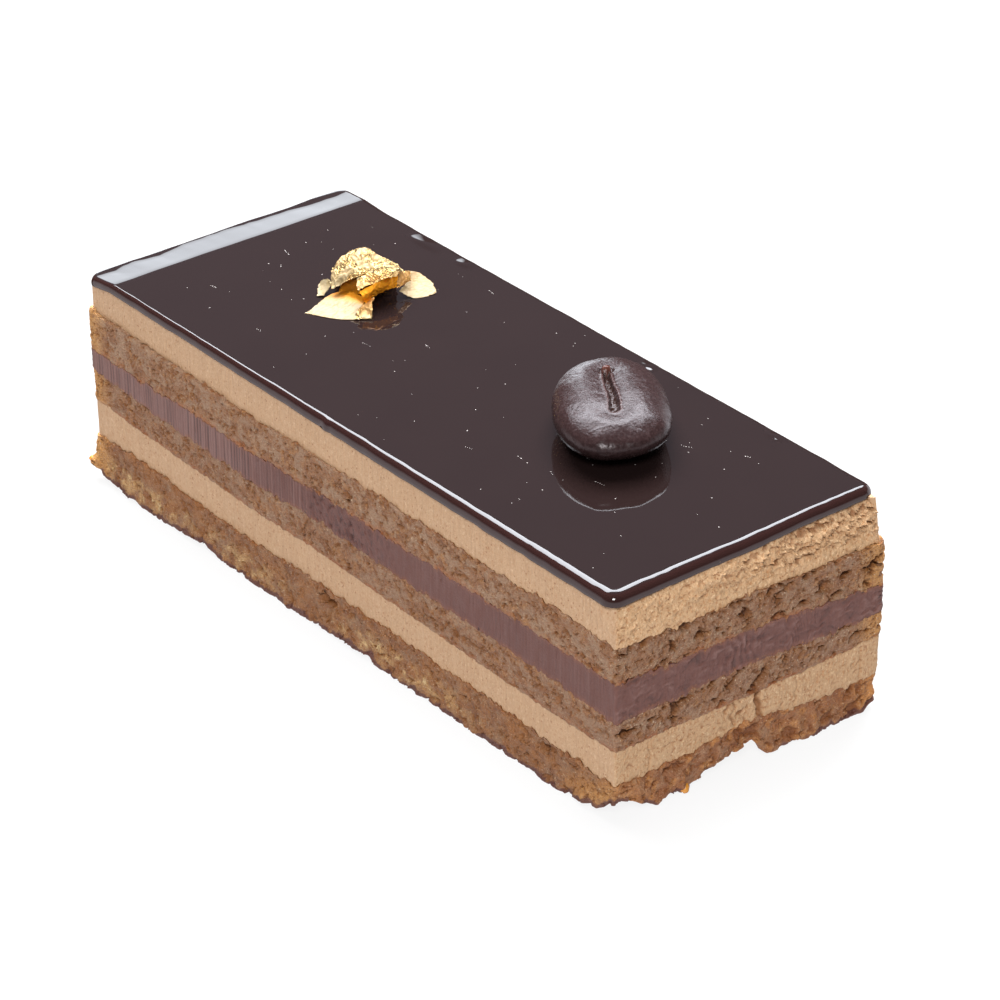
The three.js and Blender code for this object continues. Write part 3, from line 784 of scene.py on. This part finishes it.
def ganache_material(name):
    """Chocolate ganache: dull purple-brown, warmer where it meets the sponge and paler towards -X on the -Y
    side, with painted light and shade along the knife marks, scratches and bubbles.
    """
    tree = material_tree(name)
    relief_shading, rise = tree.attribute("relief_shading"), tree.attribute("rise")
    tone = tree.mix(tree.noise((9, 9, 5), 2), linear(104, 66, 57), linear(93, 56, 48))
    # Paler towards -X along the -Y side.
    tone = tree.lay(tone, (118, 84, 77), tree.attribute("paler_towards_minus_x"))
    # Painted shade in the sunken marks, painted light on the raised ones.
    tone = tree.lay(tone, (66, 40, 35), tree.ramp(relief_shading, 0.5, 1.0, 0.0, 0.75))
    tone = tree.lay(tone, (136, 104, 97), tree.ramp(relief_shading, 0.5, 0.0, 0.0, 0.55))
    # Painted shade: dark scratches over the scraped middle of the long sides.
    scratch_shade = tree.ramp(tree.noise((0.5, 0.5, 1.6), 3, 0.65, 0.8), 0.52, 0.66)
    tone = tree.lay(tone, (64, 40, 38), scratch_shade, tree.attribute("scraped"))
    rim = tree.math("ADD", tree.ramp(rise, 0.0, 0.16, 1.0, 0.0), tree.ramp(rise, 0.86, 1.0))
    uneven = tree.math("MULTIPLY", rim, tree.ramp(tree.noise((1.6, 1.6, 1.0)), 0.35, 0.6))
    tone = tree.lay(tone, (130, 78, 52), uneven, 0.45)
    crumbs = tree.math("MULTIPLY", rim, tree.ramp(tree.noise((0.3, 0.3, 0.26), 2), 0.6, 0.68))
    tone = tree.lay(tone, (168, 116, 68), crumbs, 0.8)
    # Painted shade in the bubbles.
    tone = tree.lay(tone, (66, 40, 36), tree.ramp(tree.attribute("hollow_shade"), 0.1, 0.7))
    return tree.finish({
        "Base Color": tone,
        "Roughness": tree.ramp(tree.noise((1, 1, 3)), 0.3, 0.7, 0.36, 0.54),
        "Specular IOR Level": 0.38,
        "Normal": tree.bump(tree.plus(tree.noise((0.3, 0.3, 3)), tree.noise(0.3), 0.6), 0.1),
    })


def glaze_material(name):
    """Dark chocolate mirror glaze; its rim is redder, painted glow of light through the thin glaze."""
    tree = material_tree(name)
    tone = tree.mix(tree.noise(14, 2), (0.013, 0.0072, 0.007, 1), (0.0155, 0.0088, 0.0083, 1))
    # Painted glow: the rim rows are redder.
    return tree.finish({
        "Base Color": tree.mix(tree.attribute("rim"), tone, (0.024, 0.009, 0.008, 1)),
        "Roughness": tree.ramp(tree.noise(5, 4), 0.35, 0.7, 0.015, 0.035),
        "IOR": 1.45,
        "Specular IOR Level": 0.5,
        "Normal": tree.bump(tree.noise(3.5, 2), 0.003),
    })


def bean_material(name):
    """Moulded dark chocolate with a fine mottled bloom; the lips of the groove are redder."""
    tree = material_tree(name)
    mottle = tree.ramp(tree.noise(0.42, 4, 0.6), 0.42, 0.62)
    tone = tree.mix(mottle, (0.021, 0.0105, 0.0105, 1), (0.032, 0.0175, 0.0175, 1))
    tone = tree.mix(tree.ramp(tree.attribute("lip"), 0.1, 0.9, 0.0, 0.85), tone, (0.085, 0.027, 0.018, 1))
    tone = tree.mix(tree.ramp(tree.attribute("groove"), 0.3, 0.9, 0.0, 0.6), tone, (0.03, 0.014, 0.01, 1))
    return tree.finish({
        "Base Color": tone,
        "Roughness": tree.ramp(tree.noise(0.5), 0.35, 0.65, 0.2, 0.3),
        "Specular IOR Level": 0.3,
        "Specular Tint": (1.0, 0.94, 0.96, 1),
        "Normal": tree.bump(tree.plus(tree.noise(0.3, 4, 0.65), tree.cells(0.5), 0.4), 0.035),
    })


def gold_material(name):
    """Gold leaf: dull and pale where it lies smooth, sharper where it is crumpled, and orange inside its
    folds, a painted reflection of the gold in itself."""
    tree = material_tree(name)
    crumple, painted_reflection = tree.attribute("crumple"), tree.attribute("painted_reflection")
    veins = tree.ramp(tree.noise((0.35, 0.9, 0.5), 4, 0.65, 0.6), 0.42, 0.62)
    smooth = tree.mix(veins, (0.34, 0.27, 0.16, 1), (0.265, 0.183, 0.08, 1))
    sharp = tree.mix(tree.noise(0.5), (1.0, 0.82, 0.46, 1), (0.85, 0.54, 0.15, 1))
    creases = tree.math("MULTIPLY", tree.noise(0.32, 4, 0.65), tree.ramp(crumple, 0.05, 0.8, 0.35, 2.6))
    shine = tree.math("MAXIMUM", tree.ramp(crumple, 0.0, 0.7, 0.25, 1.0), tree.math("MULTIPLY", painted_reflection, 0.85))
    # Painted reflection: orange inside the folds, where the gold would mirror itself.
    return tree.finish({
        "Base Color": tree.mix(painted_reflection, tree.mix(crumple, smooth, sharp), (0.78, 0.3, 0.014, 1)),
        "Metallic": shine,
        "Roughness": tree.ramp(crumple, 0.0, 0.8, 0.52, 0.2),
        "Normal": tree.bump(creases, 0.08),
    })


def fleck_material(name):
    """Pale specks on the glaze."""
    tree = material_tree(name)
    tone = tree.mix(tree.noise(2, 1), linear(206, 200, 198), linear(166, 156, 152))
    return tree.finish({"Base Color": tone, "Roughness": 0.5})


def amber_material(name):
    """Sugar-soaked crumb, glassy and amber."""
    tree = material_tree(name)
    tone = tree.mix(tree.noise(0.6), linear(226, 164, 60), linear(190, 112, 40))
    return tree.finish({"Base Color": tone, "Roughness": 0.25, "Normal": tree.bump(tree.noise(0.3), 0.05)})


# ---------------------------------------------------------------- pieces


def build_layers():
    """The six layers from the table up; each begins where the one below it ends."""
    # The +X end tints lighten or darken that whole face: partly its own colour, partly painted light and
    # shade.
    cream = cream_material("cut_buttercream", (0.94, 0.93, 0.88, 1))
    torn_cream = cream_material("torn_buttercream", (1.09, 1.09, 1.03, 1))
    sponge = sponge_material("soaked_sponge", (0.98, 0.98, 0.97, 1), (0.87, 0.85, 0.83, 1))
    middle = sponge_material("middle_sponge", (0.91, 0.87, 0.83, 1), (0.88, 0.86, 0.85, 1))
    base = sponge_material("base_sponge", (0.77, 0.67, 0.56, 1), (0.91, 0.78, 0.66, 1), crust=True)
    low = lower_edge()
    for name, piece_name, top, relief, material in [
        ("sponge_base", "base_sponge_crumb", "base_top", base_relief(200), base),
        ("buttercream_lower", "lower_cream", "lower_cream_top", cream_relief(300), cream),
        ("sponge_middle", "middle_sponge_crumb", "middle_top", crumb_relief(400), middle),
        ("ganache", "ganache_filling", "ganache_top", ganache_relief(500), ganache_material("cut_ganache")),
        ("sponge_upper", "upper_sponge_crumb", "upper_top", crumb_relief(600), sponge),
        ("buttercream_upper", "upper_cream", "upper_cream_top", cream_relief(700, torn=True), torn_cream),
    ]:
        high = level(top)
        build_layer(name, piece_name, low, high, relief, material)
        low = high


def rim_profile(radii):
    """The rim's turn, summed up from the top outwards: its angles, and how far out and down each step takes
    it."""
    angles = np.radians(np.linspace(0, GLAZE["overhang_turn"], 37))
    out, down = [np.zeros_like(radii[0])], [np.zeros_like(radii[0])]
    for start, end in zip(angles, angles[1:]):
        bend = math.degrees((start + end) / 2)
        to_middle, to_foot = smoothstep(bend, 18, 28), smoothstep(bend, 50, 66)
        radius = radii[0] + (radii[1] - radii[0]) * to_middle + (radii[2] - radii[1]) * to_foot
        out.append(out[-1] + radius * (math.sin(end) - math.sin(start)))
        down.append(down[-1] + radius * (math.cos(start) - math.cos(end)))
    return angles, out, down


def shape_glaze(points, reach):
    """Draws the -X end of the glaze out and its +X end in, slopes the -X end down to a narrow flat lip and
    raises the swellings."""
    x, y = points[..., 0].copy(), points[..., 1].copy()
    points[..., 0] -= GLAZE["end_overhang"] * smoothstep(-x, 42, 51)
    points[..., 0] -= (0.3 + 0.4 * smoothstep(y, 0, 12)) * smoothstep(x, 40, 51)
    points[..., 1] += GLAZE["corner_reach"] * smoothstep(-x, 41, 51) * smoothstep(y, 13, 19.5)
    lip = np.interp(points[..., 1], *np.array(END_LIP).T) + 0.15 * noise(points / [60, 1.6, 60], 905)
    top_edge = reach - GLAZE["half_length"] - GLAZE["end_overhang"] + lip
    start = GLAZE["slope_start"] + 0.12 * noise(points / [60, 7, 60], 908)
    fall = (start - points[..., 0]) / np.maximum(start - top_edge, 0.6)
    eased = np.mean([np.clip(fall + shift, 0, 1) for shift in np.linspace(-0.12, 0.12, 9)], axis=0)
    points[..., 2] -= GLAZE["slope_drop"] * (eased - eased.min()) * (1 - 0.2 * smoothstep(y, 12, 20.3))
    for x_at, y_at, along_radius, across_radius, height in SWELLINGS:
        along = (points[..., 0] - x_at) / along_radius
        across = (points[..., 1] - y_at) / across_radius
        across = np.where(across > 0, across / 2.5, across)
        points[..., 2] += height * hump(np.hypot(along, across), 1) * (points[..., 2] > TOP - 0.3)


def build_glaze():
    """The glaze: flat on top, a rounded rim that laps over the cream, and a -X end that slopes down."""
    ring = rounded_outline(GLAZE["half_length"], GLAZE["half_width"], GLAZE["corner"], [0.3] * 4)
    spots = np.stack([ring["x"], ring["y"], np.zeros_like(ring["x"])], -1)
    wobble = 0.07 * noise(spots / 7, 901) + 0.04 * noise(spots / 2.4, 902)
    wobble += np.clip(-ring["nx"], 0, 1) * 0.15 * noise(spots / 5, 903)
    wobble += 0.12 * hump(ring["x"] - NICK_AT, 1.0) * (ring["y"] < 0)
    uneven = 1 + 0.06 * noise(spots / 3.5, 906) + 0.04 * noise(spots / 1.4, 907)
    stations = np.array(RIM).T
    radii = [np.interp(ring["turn"], stations[0], radius, period=4) * uneven for radius in stations[1:]]
    radii[0] = radii[0] * (1 + 0.6 * hump(ring["x"] - NICK_AT, 1.3) * (ring["y"] < 0))
    angles, out, down = rim_profile(radii)
    reach = np.max(out, axis=0)
    rows, shares = [], []

    def row(inset, z, shrink=0.0, share=0.0):
        x, y = ring["x"] + ring["nx"] * (wobble - inset), ring["y"] + ring["ny"] * (wobble - inset)
        x, y = x * (1 - shrink / GLAZE["half_length"]), y * (1 - shrink / GLAZE["half_width"])
        rows.append(np.stack([x, y, np.broadcast_to(z, x.shape)], -1))
        shares.append(np.full_like(x, share))

    # share: how far each row takes the rim's redder colour, a painted glow of light through the thin glaze.
    row(reach, TOP - down[-1], shrink=1.2, share=1.0)
    for angle, outward, lower in reversed(list(zip(angles, out, down))):
        row(reach - outward, TOP - lower, share=float(smoothstep(math.degrees(angle), 10, 35)))
    for shrink in [*np.arange(0.15, 6.5, 0.25), *np.arange(6.5, 10.0, 0.5)]:
        row(reach, TOP, shrink)
    points = np.stack(rows)
    shape_glaze(points, reach)
    faces, material = stack_faces(len(points), len(ring["x"])), glaze_material("chocolate_mirror_glaze")
    piece = make_object("mirror_glaze", points.reshape(-1, 3), faces, material, {"rim": np.stack(shares)})
    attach(piece, "root")
    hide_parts("glaze")


def turned(points, degrees, x, y, z):
    """Points turned about +Z, then moved."""
    angle = math.radians(degrees)
    c, s = math.cos(angle), math.sin(angle)
    return points @ np.array([[c, s, 0], [-s, c, 0], [0, 0, 1]]) + [x, y, z]


def bean_body():
    """A plump rounded oblong, flatter on top than underneath: points, outward normals, and where its top
    is."""
    across, up = BEAN["steps"]
    lon = np.linspace(0, 2 * math.pi, across, endpoint=False)[None]
    lat = np.linspace(-math.pi / 2, math.pi / 2, up + 2)[1:-1, None]
    power = BEAN["squareness"]
    reach = (np.abs(np.cos(lon)) ** power + np.abs(np.sin(lon)) ** power) ** (-1 / power)
    reach = reach * (1 - 0.064 * np.sin(2 * lon) - 0.022 * np.cos(3 * lon + 0.49))
    flatter = np.sqrt(1 - np.cos(lat) ** 2.25)
    rise = np.where(lat > 0, flatter, np.sin(lat)) * np.ones_like(lon)
    x, y = reach * np.cos(lon) * np.cos(lat), reach * np.sin(lon) * np.cos(lat)
    height = BEAN["thickness"] * (0.5 + 0.5 * rise)
    points = np.stack([x * BEAN["length"] / 2, y * BEAN["width"] / 2, height], -1)
    normals = np.stack([x / BEAN["length"], y / BEAN["width"], rise / BEAN["thickness"]], -1)
    return points, normals / np.linalg.norm(normals, axis=-1, keepdims=True), rise > 0


def bean_groove(points, top):
    """A short lipped groove in a shallow dent, with a knob at its start: how far each point stands out for
    it, and the numbers that the material reads."""
    start, end = GROOVE["start"], GROOVE["end"]
    along = points[..., 0]
    side = points[..., 1] - GROOVE["side"] - GROOVE["lean"] * along - 0.1 * np.sin(along * 0.8)
    beyond = np.clip(np.abs(along - (start + end) / 2) - (end - start) / 2, 0, None)
    away = np.hypot(beyond, side) + 0.07 * noise(points / 0.7, 952)
    width = np.interp(along, [start, end], GROOVE["widths"])
    groove = (1 - smoothstep(away, 0.3 * width, width)) * top
    dent = hump(np.hypot(beyond * 1.1, side), 3.6) * top
    lip = hump(away - width - 0.12, 0.3) * top
    knob = np.hypot(along - start, side)
    crumbly = 1 + 0.5 * fractal(points / 0.5, 953, 2)
    out = -GROOVE["depth"] * groove * crumbly * smoothstep(knob, 0.45, 0.95) - 0.45 * dent + 0.07 * lip
    dome = np.sqrt(np.clip(1 - (knob / 0.62) ** 2, 0, 1)) * top
    ring = hump(knob - 0.8, 0.28) * top
    out += 0.7 * dome - 0.35 * ring
    ball = smoothstep(dome, 0.0, 0.4)
    return out, {"groove": np.clip(groove + ring - ball, 0, 1), "lip": np.clip(0.4 * lip + ball, 0, 1)}


def build_bean():
    """The chocolate bean, turned and set on the glaze."""
    points, normals, top = bean_body()
    out, numbers = bean_groove(points, top)
    for place, height in BULGES:
        out += height * hump(np.linalg.norm(points - place, axis=-1), 2.4)
    out += 0.04 * fractal(points / 2.0, 950, 2) + 0.012 * fractal(points / 0.4, 951, 2)
    points = points + normals * out[..., None]
    points[..., 2] = np.maximum(points[..., 2], 0.02)
    placed = turned(points.reshape(-1, 3), BEAN["turn"], BEAN["x"], BEAN["y"], TOP)
    across, up = BEAN["steps"]
    piece = make_object(
        "chocolate_bean", placed, stack_faces(up, across), bean_material("bloomed_chocolate"), numbers)
    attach(piece, "root")
    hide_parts("coffee_bean")


# The gold leaf's folds, each a grid of points with heights over the glaze. They were picked on the photo,
# placed through its fitted camera at guessed heights, and then rounded and thinned.
LEAF = {
    "flap": [
        [(-25.5, -5.6, 0.1), (-22.0, -3.7, 0.1), (-20.2, -1.9, 0.1)],
        [(-26.3, -3.0, 0.4), (-24.0, -1.5, 0.6), (-21.0, -0.5, 1.0)],
        [(-27.0, -0.7, 0.5), (-24.6, -0.1, 1.0), (-21.0, 0.2, 1.4)],
        [(-26.6, 0.6, 0.8), (-24.4, 0.7, 1.5), (-21.7, 0.4, 2.0)],
    ],
    "foot": [
        [(-20.2, -1.9, 0.1), (-18.9, -0.1, 0.1)],
        [(-20.8, -1.0, 0.7), (-19.6, 0.4, 1.0)],
        [(-21.0, 0.2, 1.4), (-20.9, 1.5, 1.9)],
    ],
    "wall": [
        [(-21.0, 0.3, 1.4), (-20.8, 2.6, 2.2), (-20.7, 5.0, 2.3)],
        [(-21.0, -0.2, 2.4), (-20.6, 2.2, 3.2), (-21.0, 5.4, 3.3)],
        [(-21.7, 0.0, 2.9), (-20.9, 2.5, 3.9), (-21.7, 6.3, 3.7)],
    ],
    "window": [
        [(-26.8, 0.6, 0.7), (-25.1, 0.9, 1.0), (-23.2, 1.2, 1.5)],
        [(-27.3, 1.6, 1.8), (-26.2, 2.0, 2.2), (-24.3, 2.0, 2.8)],
    ],
    "roll": [
        [(-21.7, 0.0, 2.9), (-21.2, 1.9, 3.7), (-20.7, 4.1, 3.9), (-20.9, 5.3, 3.7)],
        [(-22.8, 0.4, 3.2), (-22.2, 2.4, 4.1), (-21.1, 4.6, 4.3), (-21.0, 5.6, 4.0)],
        [(-23.4, 1.0, 3.6), (-22.8, 3.2, 4.5), (-21.6, 5.2, 4.5), (-21.4, 6.3, 4.0)],
    ],
    "crest": [
        [(-26.2, -0.9, 1.7), (-25.0, 0.7, 2.9), (-23.4, 1.7, 3.9), (-22.3, 4.1, 4.7), (-21.4, 6.3, 4.0)],
        [(-27.4, -0.3, 2.3), (-25.6, 1.0, 3.8), (-24.0, 2.5, 4.6), (-22.9, 4.5, 4.8), (-21.9, 6.9, 3.6)],
        [(-28.7, 1.1, 3.0), (-28.6, 3.0, 4.5), (-27.1, 4.9, 5.3), (-24.9, 5.4, 4.9), (-23.8, 7.4, 3.4)],
        [(-30.9, 3.0, 0.2), (-31.1, 5.0, 0.2), (-30.1, 7.1, 0.2), (-28.5, 8.2, 0.2), (-26.1, 9.3, 0.2)],
    ],
    "tab": [
        [(-28.2, -1.8, 0.2), (-27.8, -1.1, 0.3)],
        [(-29.3, -0.9, 0.6), (-27.8, -0.4, 0.9)],
        [(-29.9, -0.1, 1.1), (-27.8, 0.0, 1.5)],
        [(-28.8, 0.3, 1.8), (-27.6, -0.1, 2.0)],
    ],
    "lens": [
        [(-21.0, 5.2, 1.9), (-22.0, 7.6, 1.5)],
        [(-21.6, 5.6, 2.8), (-22.0, 8.3, 2.0)],
        [(-22.0, 6.0, 3.7), (-22.7, 8.6, 2.6)],
    ],
    "right_flap": [
        [(-21.6, 6.1, 1.0), (-20.1, 7.6, 0.1), (-19.4, 10.2, 0.1)],
        [(-22.2, 7.6, 1.3), (-21.7, 9.1, 0.7), (-19.9, 10.8, 0.2)],
        [(-23.9, 9.4, 2.0), (-23.6, 11.0, 1.2), (-21.4, 11.4, 0.5)],
    ],
}
LEAF_THICKNESS = 0.06
LEAF_LEAN = [-0.16, 0.13, -0.12]  # how far each millimetre of height moves a point back and down
# Mesh steps along and across each fold, how crumpled it is, and how much painted orange reflection it has
# at its first and last row of points.
LEAF_FOLDS = {
    "flap": (60, 68, 0.05, (-1.0, 1.5)),
    "foot": (42, 42, 0.9, (0.0, 0.5)),
    "wall": (42, 76, 0.35, (1.0, 1.0)),
    "window": (34, 52, 0.3, (1.0, 0.9)),
    "roll": (60, 94, 1.0, (0.3, 0.0)),
    "crest": (102, 110, 0.8, (-0.1, 0.3)),
    "tab": (42, 26, 0.2, (0.0, 0.0)),
    "lens": (34, 34, 0.8, (0.5, 0.4)),
    "right_flap": (52, 68, 0.06, (0.0, 0.1)),
}


def spline(knots, t):
    """A smooth curve through knots (first axis), read at t from 0 to 1."""
    knots = np.asarray(knots, float)
    padded = np.concatenate([2 * knots[:1] - knots[1:2], knots, 2 * knots[-1:] - knots[-2:-1]])
    place = np.clip(t * (len(knots) - 1), 0, len(knots) - 1 - 1e-9)
    i = place.astype(int)
    f = (place - i).reshape(-1, *[1] * (knots.ndim - 1))
    a, b, c, d = (padded[i + k] for k in range(4))
    return 0.5 * (2 * b + (c - a) * f + (2 * a - 5 * b + 4 * c - d) * f**2 + (3 * b - a - 3 * c + d) * f**3)


def across_sheet(sheet):
    """Unit normals of a grid of points."""
    normals = np.cross(np.gradient(sheet, axis=1), np.gradient(sheet, axis=0))
    return normals / (np.linalg.norm(normals, axis=-1, keepdims=True) + 1e-9)


def foil(grid, along, across, crumple, seed):
    """Points, faces and crumple numbers of a thin sheet through a grid of points, creased by noise."""
    rows = spline(grid, np.linspace(0, 1, along))
    sheet = spline(rows.transpose(1, 0, 2), np.linspace(0, 1, across)).transpose(1, 0, 2)
    folds = 1 - 2.2 * np.abs(fractal(warped(sheet, 0.4, 1.0, seed) / 1.2, seed + 3, 2))
    wrinkles = 1 - 2.2 * np.abs(fractal(warped(sheet, 0.15, 0.4, seed + 9) / 0.4, seed + 4, 2))
    uneven = smoothstep(noise(sheet / 1.6, seed + 5), -0.25, 0.3)
    out = crumple * (0.23 * folds + 0.09 * wrinkles * uneven) + 0.02 * fractal(sheet / 1.1, seed + 6, 2)
    sheet = sheet + across_sheet(sheet) * out[..., None]
    from_edge = [np.minimum(np.arange(count), np.arange(count)[::-1]) for count in (along, across)]
    rim = np.minimum.outer(*from_edge)
    sheet[..., :2] += (0.12 * fractal(sheet / 0.6, seed + 8, 3) * (rim < 2))[..., None]
    sheet[..., 2] = np.maximum(sheet[..., 2], 0.08)
    lower = sheet - across_sheet(sheet) * LEAF_THICKNESS
    lower[..., 2] = np.maximum(lower[..., 2], 0.02)
    count = across * along
    index = np.arange(count).reshape(along, across)
    border = np.concatenate([index[0, :-1], index[:-1, -1], index[-1, :0:-1], index[:0:-1, 0]])
    after = np.roll(border, -1)
    sides = np.stack([border, border + count, after + count, after], -1)
    quads = grid_faces(along, across, closed=False)
    faces = [face[::-1] for face in quads] + [[i + count for i in face] for face in quads]
    faces += [side[::-1] for side in sides.tolist()]
    least = np.interp(crumple, [0.8, 1.0], [0.12, 0.36])  # the most crumpled folds have no smooth places
    values = np.clip(crumple * (least + (1 - least) * uneven), 0, 1).ravel()
    both = np.concatenate([sheet.reshape(-1, 3), lower.reshape(-1, 3)])
    return both, faces, np.concatenate([values, values])


def build_leaf():
    """The gold leaf: smooth flaps lying on the glaze, and between them a low crumpled tent, orange inside
    from painted reflection.
    """
    parts, crumples, painted_reflections = [], [], []
    for k, (name, (along, across, crumple, painted_reflection)) in enumerate(LEAF_FOLDS.items()):
        points, faces, values = foil(LEAF[name], along, across, crumple, seed=960 + 20 * k)
        parts.append((points, faces))
        crumples.append(values)
        upward = np.tile(np.repeat(np.linspace(0, 1, along), across), 2)
        painted_reflections.append(np.clip(painted_reflection[0] + (painted_reflection[1] - painted_reflection[0]) * upward, 0, 1))
    points, faces = joined(parts)
    values = {"crumple": np.concatenate(crumples), "painted_reflection": np.concatenate(painted_reflections)}
    points = points + points[:, 2:] * LEAF_LEAN + [0, 0, TOP]
    piece = make_object("gold_foil", points, faces, gold_material("gold_leaf_metal"), values, smooth_angle=35)
    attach(piece, "root")
    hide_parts("gold_leaf")


FLECKS = {"count": 95, "rows": 0.16, "spacing": 0.32}  # rows is the share of specks that begin a short row


def build_flecks():
    """Pale specks on the glaze, some in short rows."""
    draw = np.random.default_rng(12)
    parts = []
    for _ in range(FLECKS["count"]):
        spot = draw.uniform([-46, -18, 0], [49, 18, 0])
        row = draw.random() < FLECKS["rows"]
        heading = draw.uniform(-0.3, 0.5)
        for k in range(draw.integers(3, 6) if row else 1):
            size = draw.uniform(0.035, 0.085)
            ahead, aside = (turn(heading) * FLECKS["spacing"] * k for turn in (math.cos, math.sin))
            step = [ahead, aside + draw.uniform(-0.06, 0.06), 0]
            half_sizes = np.array([size * draw.uniform(1, 1.8), size, size * 0.5])
            parts.append(blob(spot + step + [0, 0, TOP + 0.01], half_sizes, seed=0, bump=0.0, detail=1))
    piece = make_object("glaze_flecks", *joined(parts), fleck_material("pale_specks"))
    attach(piece, "root")


# Amber crumbs that stick out of the base sponge: place and half-sizes.
CRUMBS = [((52.7, -9.6, 0.75), (0.5, 0.55, 0.6)), ((-52.9, -20.5, 2.3), (1.0, 0.7, 0.5))]


def build_crumbs():
    parts = [blob(place, size, seed=k + 5, bump=0.5, detail=3) for k, (place, size) in enumerate(CRUMBS)]
    piece = make_object("amber_crumbs", *joined(parts), amber_material("amber_crumb"))
    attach(piece, "root")


# ---------------------------------------------------------------- studio

CAMERA = {
    "azimuth": 51.54,
    "elevation": 29.79,
    "distance": 516.0,
    "target": (6.08, 0.31, 14.93),
    "roll": -0.3,
    "lens": 150.87,
    "sensor": 36,
    "nearest": 0.01,  # metres
}
LAMP_DISTANCE = 900.0
# Area lamps: azimuth, elevation, width, height, power, colour, and whether mirror images show them.
LAMPS = {
    "softbox": (145, 50, 945.0, 300.0, 13.0, (0.95, 0.99, 1.06), True),
    "overhead": (145, 62, 945.0, 780.0, 25.0, (1.0, 1.0, 1.0), False),
    "key": (-42, 42, 220.0, 220.0, 5.5, (1.0, 1.0, 1.0), True),
}
FLOOR_HALF = 3.0  # metres


def from_angles(azimuth, elevation):
    """Direction of an azimuth counted from +X towards +Y, and an elevation, in degrees."""
    a, e = math.radians(azimuth), math.radians(elevation)
    return Vector((math.cos(e) * math.cos(a), math.cos(e) * math.sin(a), math.sin(e)))


def build_camera():
    data = bpy.data.cameras.new("camera")
    data.lens, data.sensor_width, data.clip_start = CAMERA["lens"], CAMERA["sensor"], CAMERA["nearest"]
    camera = bpy.data.objects.new("camera", data)
    target = Vector(CAMERA["target"]) * MM
    back = from_angles(CAMERA["azimuth"] - 90, CAMERA["elevation"])
    facing_target = back.to_track_quat("Z", "Y").to_matrix().to_4x4()
    look = Matrix.Translation(target + back * CAMERA["distance"] * MM) @ facing_target
    camera.matrix_world = look @ Matrix.Rotation(math.radians(CAMERA["roll"]), 4, "Z")
    bpy.context.scene.collection.objects.link(camera)
    bpy.context.scene.camera = camera


def build_lights():
    for name, (azimuth, elevation, width, height, power, colour, mirrored) in LAMPS.items():
        data = bpy.data.lights.new(name, "AREA")
        data.shape = "RECTANGLE"
        data.size, data.size_y = width * MM, height * MM
        data.energy, data.color = power, colour
        lamp = bpy.data.objects.new(name, data)
        out = from_angles(azimuth, elevation)
        side = Vector((0, 0, 1)).cross(out).normalized()
        turn = Matrix([side, out.cross(side), out]).transposed().to_4x4()
        lamp.matrix_world = Matrix.Translation(out * LAMP_DISTANCE * MM + Vector((0, 0, TOP * MM))) @ turn
        lamp.visible_camera = False
        lamp.visible_glossy = mirrored
        bpy.context.scene.collection.objects.link(lamp)


def build_floor():
    """A white table, left out of mirror images."""
    mesh = bpy.data.meshes.new("floor")
    corners = [(x * FLOOR_HALF, y * FLOOR_HALF, 0) for x, y in ((-1, -1), (1, -1), (1, 1), (-1, 1))]
    mesh.from_pydata(corners, [], [(0, 1, 2, 3)])
    floor = bpy.data.objects.new("floor", mesh)
    bpy.context.scene.collection.objects.link(floor)
    tree = material_tree("white_table")
    floor.data.materials.append(tree.finish({
        "Base Color": tree.mix(tree.noise(60, 1), (0.09, 0.09, 0.09, 1), (0.1, 0.1, 0.1, 1)),
        "Roughness": 0.9,
        "Specular IOR Level": 0.0,
        "Emission Color": (1, 1, 1, 1),
        "Emission Strength": 0.87,
    }))
    floor.visible_glossy = False


def build_world():
    """A white studio for the camera, grey fill for the surfaces, and for reflections a dark room with a white
    table in front, a pale wall low behind the -X end and another low behind the +Y side."""
    world = bpy.data.worlds.new("studio")
    bpy.context.scene.world = world
    tree = Tree(world)
    x, y, height = (tree.add("SeparateXYZ", axis, {0: tree.add("TexCoord", "Generated")}) for axis in "XYZ")
    azimuth = tree.math("ARCTAN2", y, x)

    def band(value, low, high, soft):
        """1 between low and high, else 0, with edges that take soft on either side."""
        up = tree.ramp(value, low - soft, low + soft, kind="LINEAR")
        return tree.math("MULTIPLY", up, tree.ramp(value, high - soft, high + soft, 1.0, 0.0, kind="LINEAR"))

    def patch(low, high, start, end, soft=0.02, blur=0.01):
        """1 between two sines of elevation and two azimuths in degrees, else 0."""
        around = band(azimuth, math.radians(start), math.radians(end), soft)
        return tree.math("MULTIPLY", band(height, low, high, blur), around)

    seen = tree.mix(band(height, 0.38, 2.0, 0.01), (0.1, 0.08, 0.08, 1), (0.18, 0.15, 0.15, 1))
    for share, colour in [
        (patch(0.38, 2.0, 95, 178, 0.1), (0.24, 0.24, 0.28, 1)),
        (patch(-0.1, 0.37, 142.5, 155), (3.6, 3.85, 4.15, 1)),
        (patch(-0.4, 0.3, 60, 112), (1.5, 1.5, 1.6, 1)),
        (patch(-1.3, 0.15, -156, 56, 0.05, 0.13), (1.5, 1.4, 1.45, 1)),
    ]:
        seen = tree.mix(share, seen, colour)
    shade = tree.mix(tree.add("LightPath", "Is Glossy Ray"), (0.26, 0.26, 0.26, 1), seen)
    shade = tree.mix(tree.add("LightPath", "Is Camera Ray"), shade, (1, 1, 1, 1))
    background = tree.add("Background", inputs={"Color": shade, "Strength": 1.0})
    tree.add("OutputWorld", inputs={"Surface": background})


build_camera()
build_lights()
build_floor()
build_world()
bpy.context.scene.view_settings.view_transform = "Standard"

build_layers()
build_glaze()
build_bean()
build_leaf()
build_flecks()
build_crumbs()
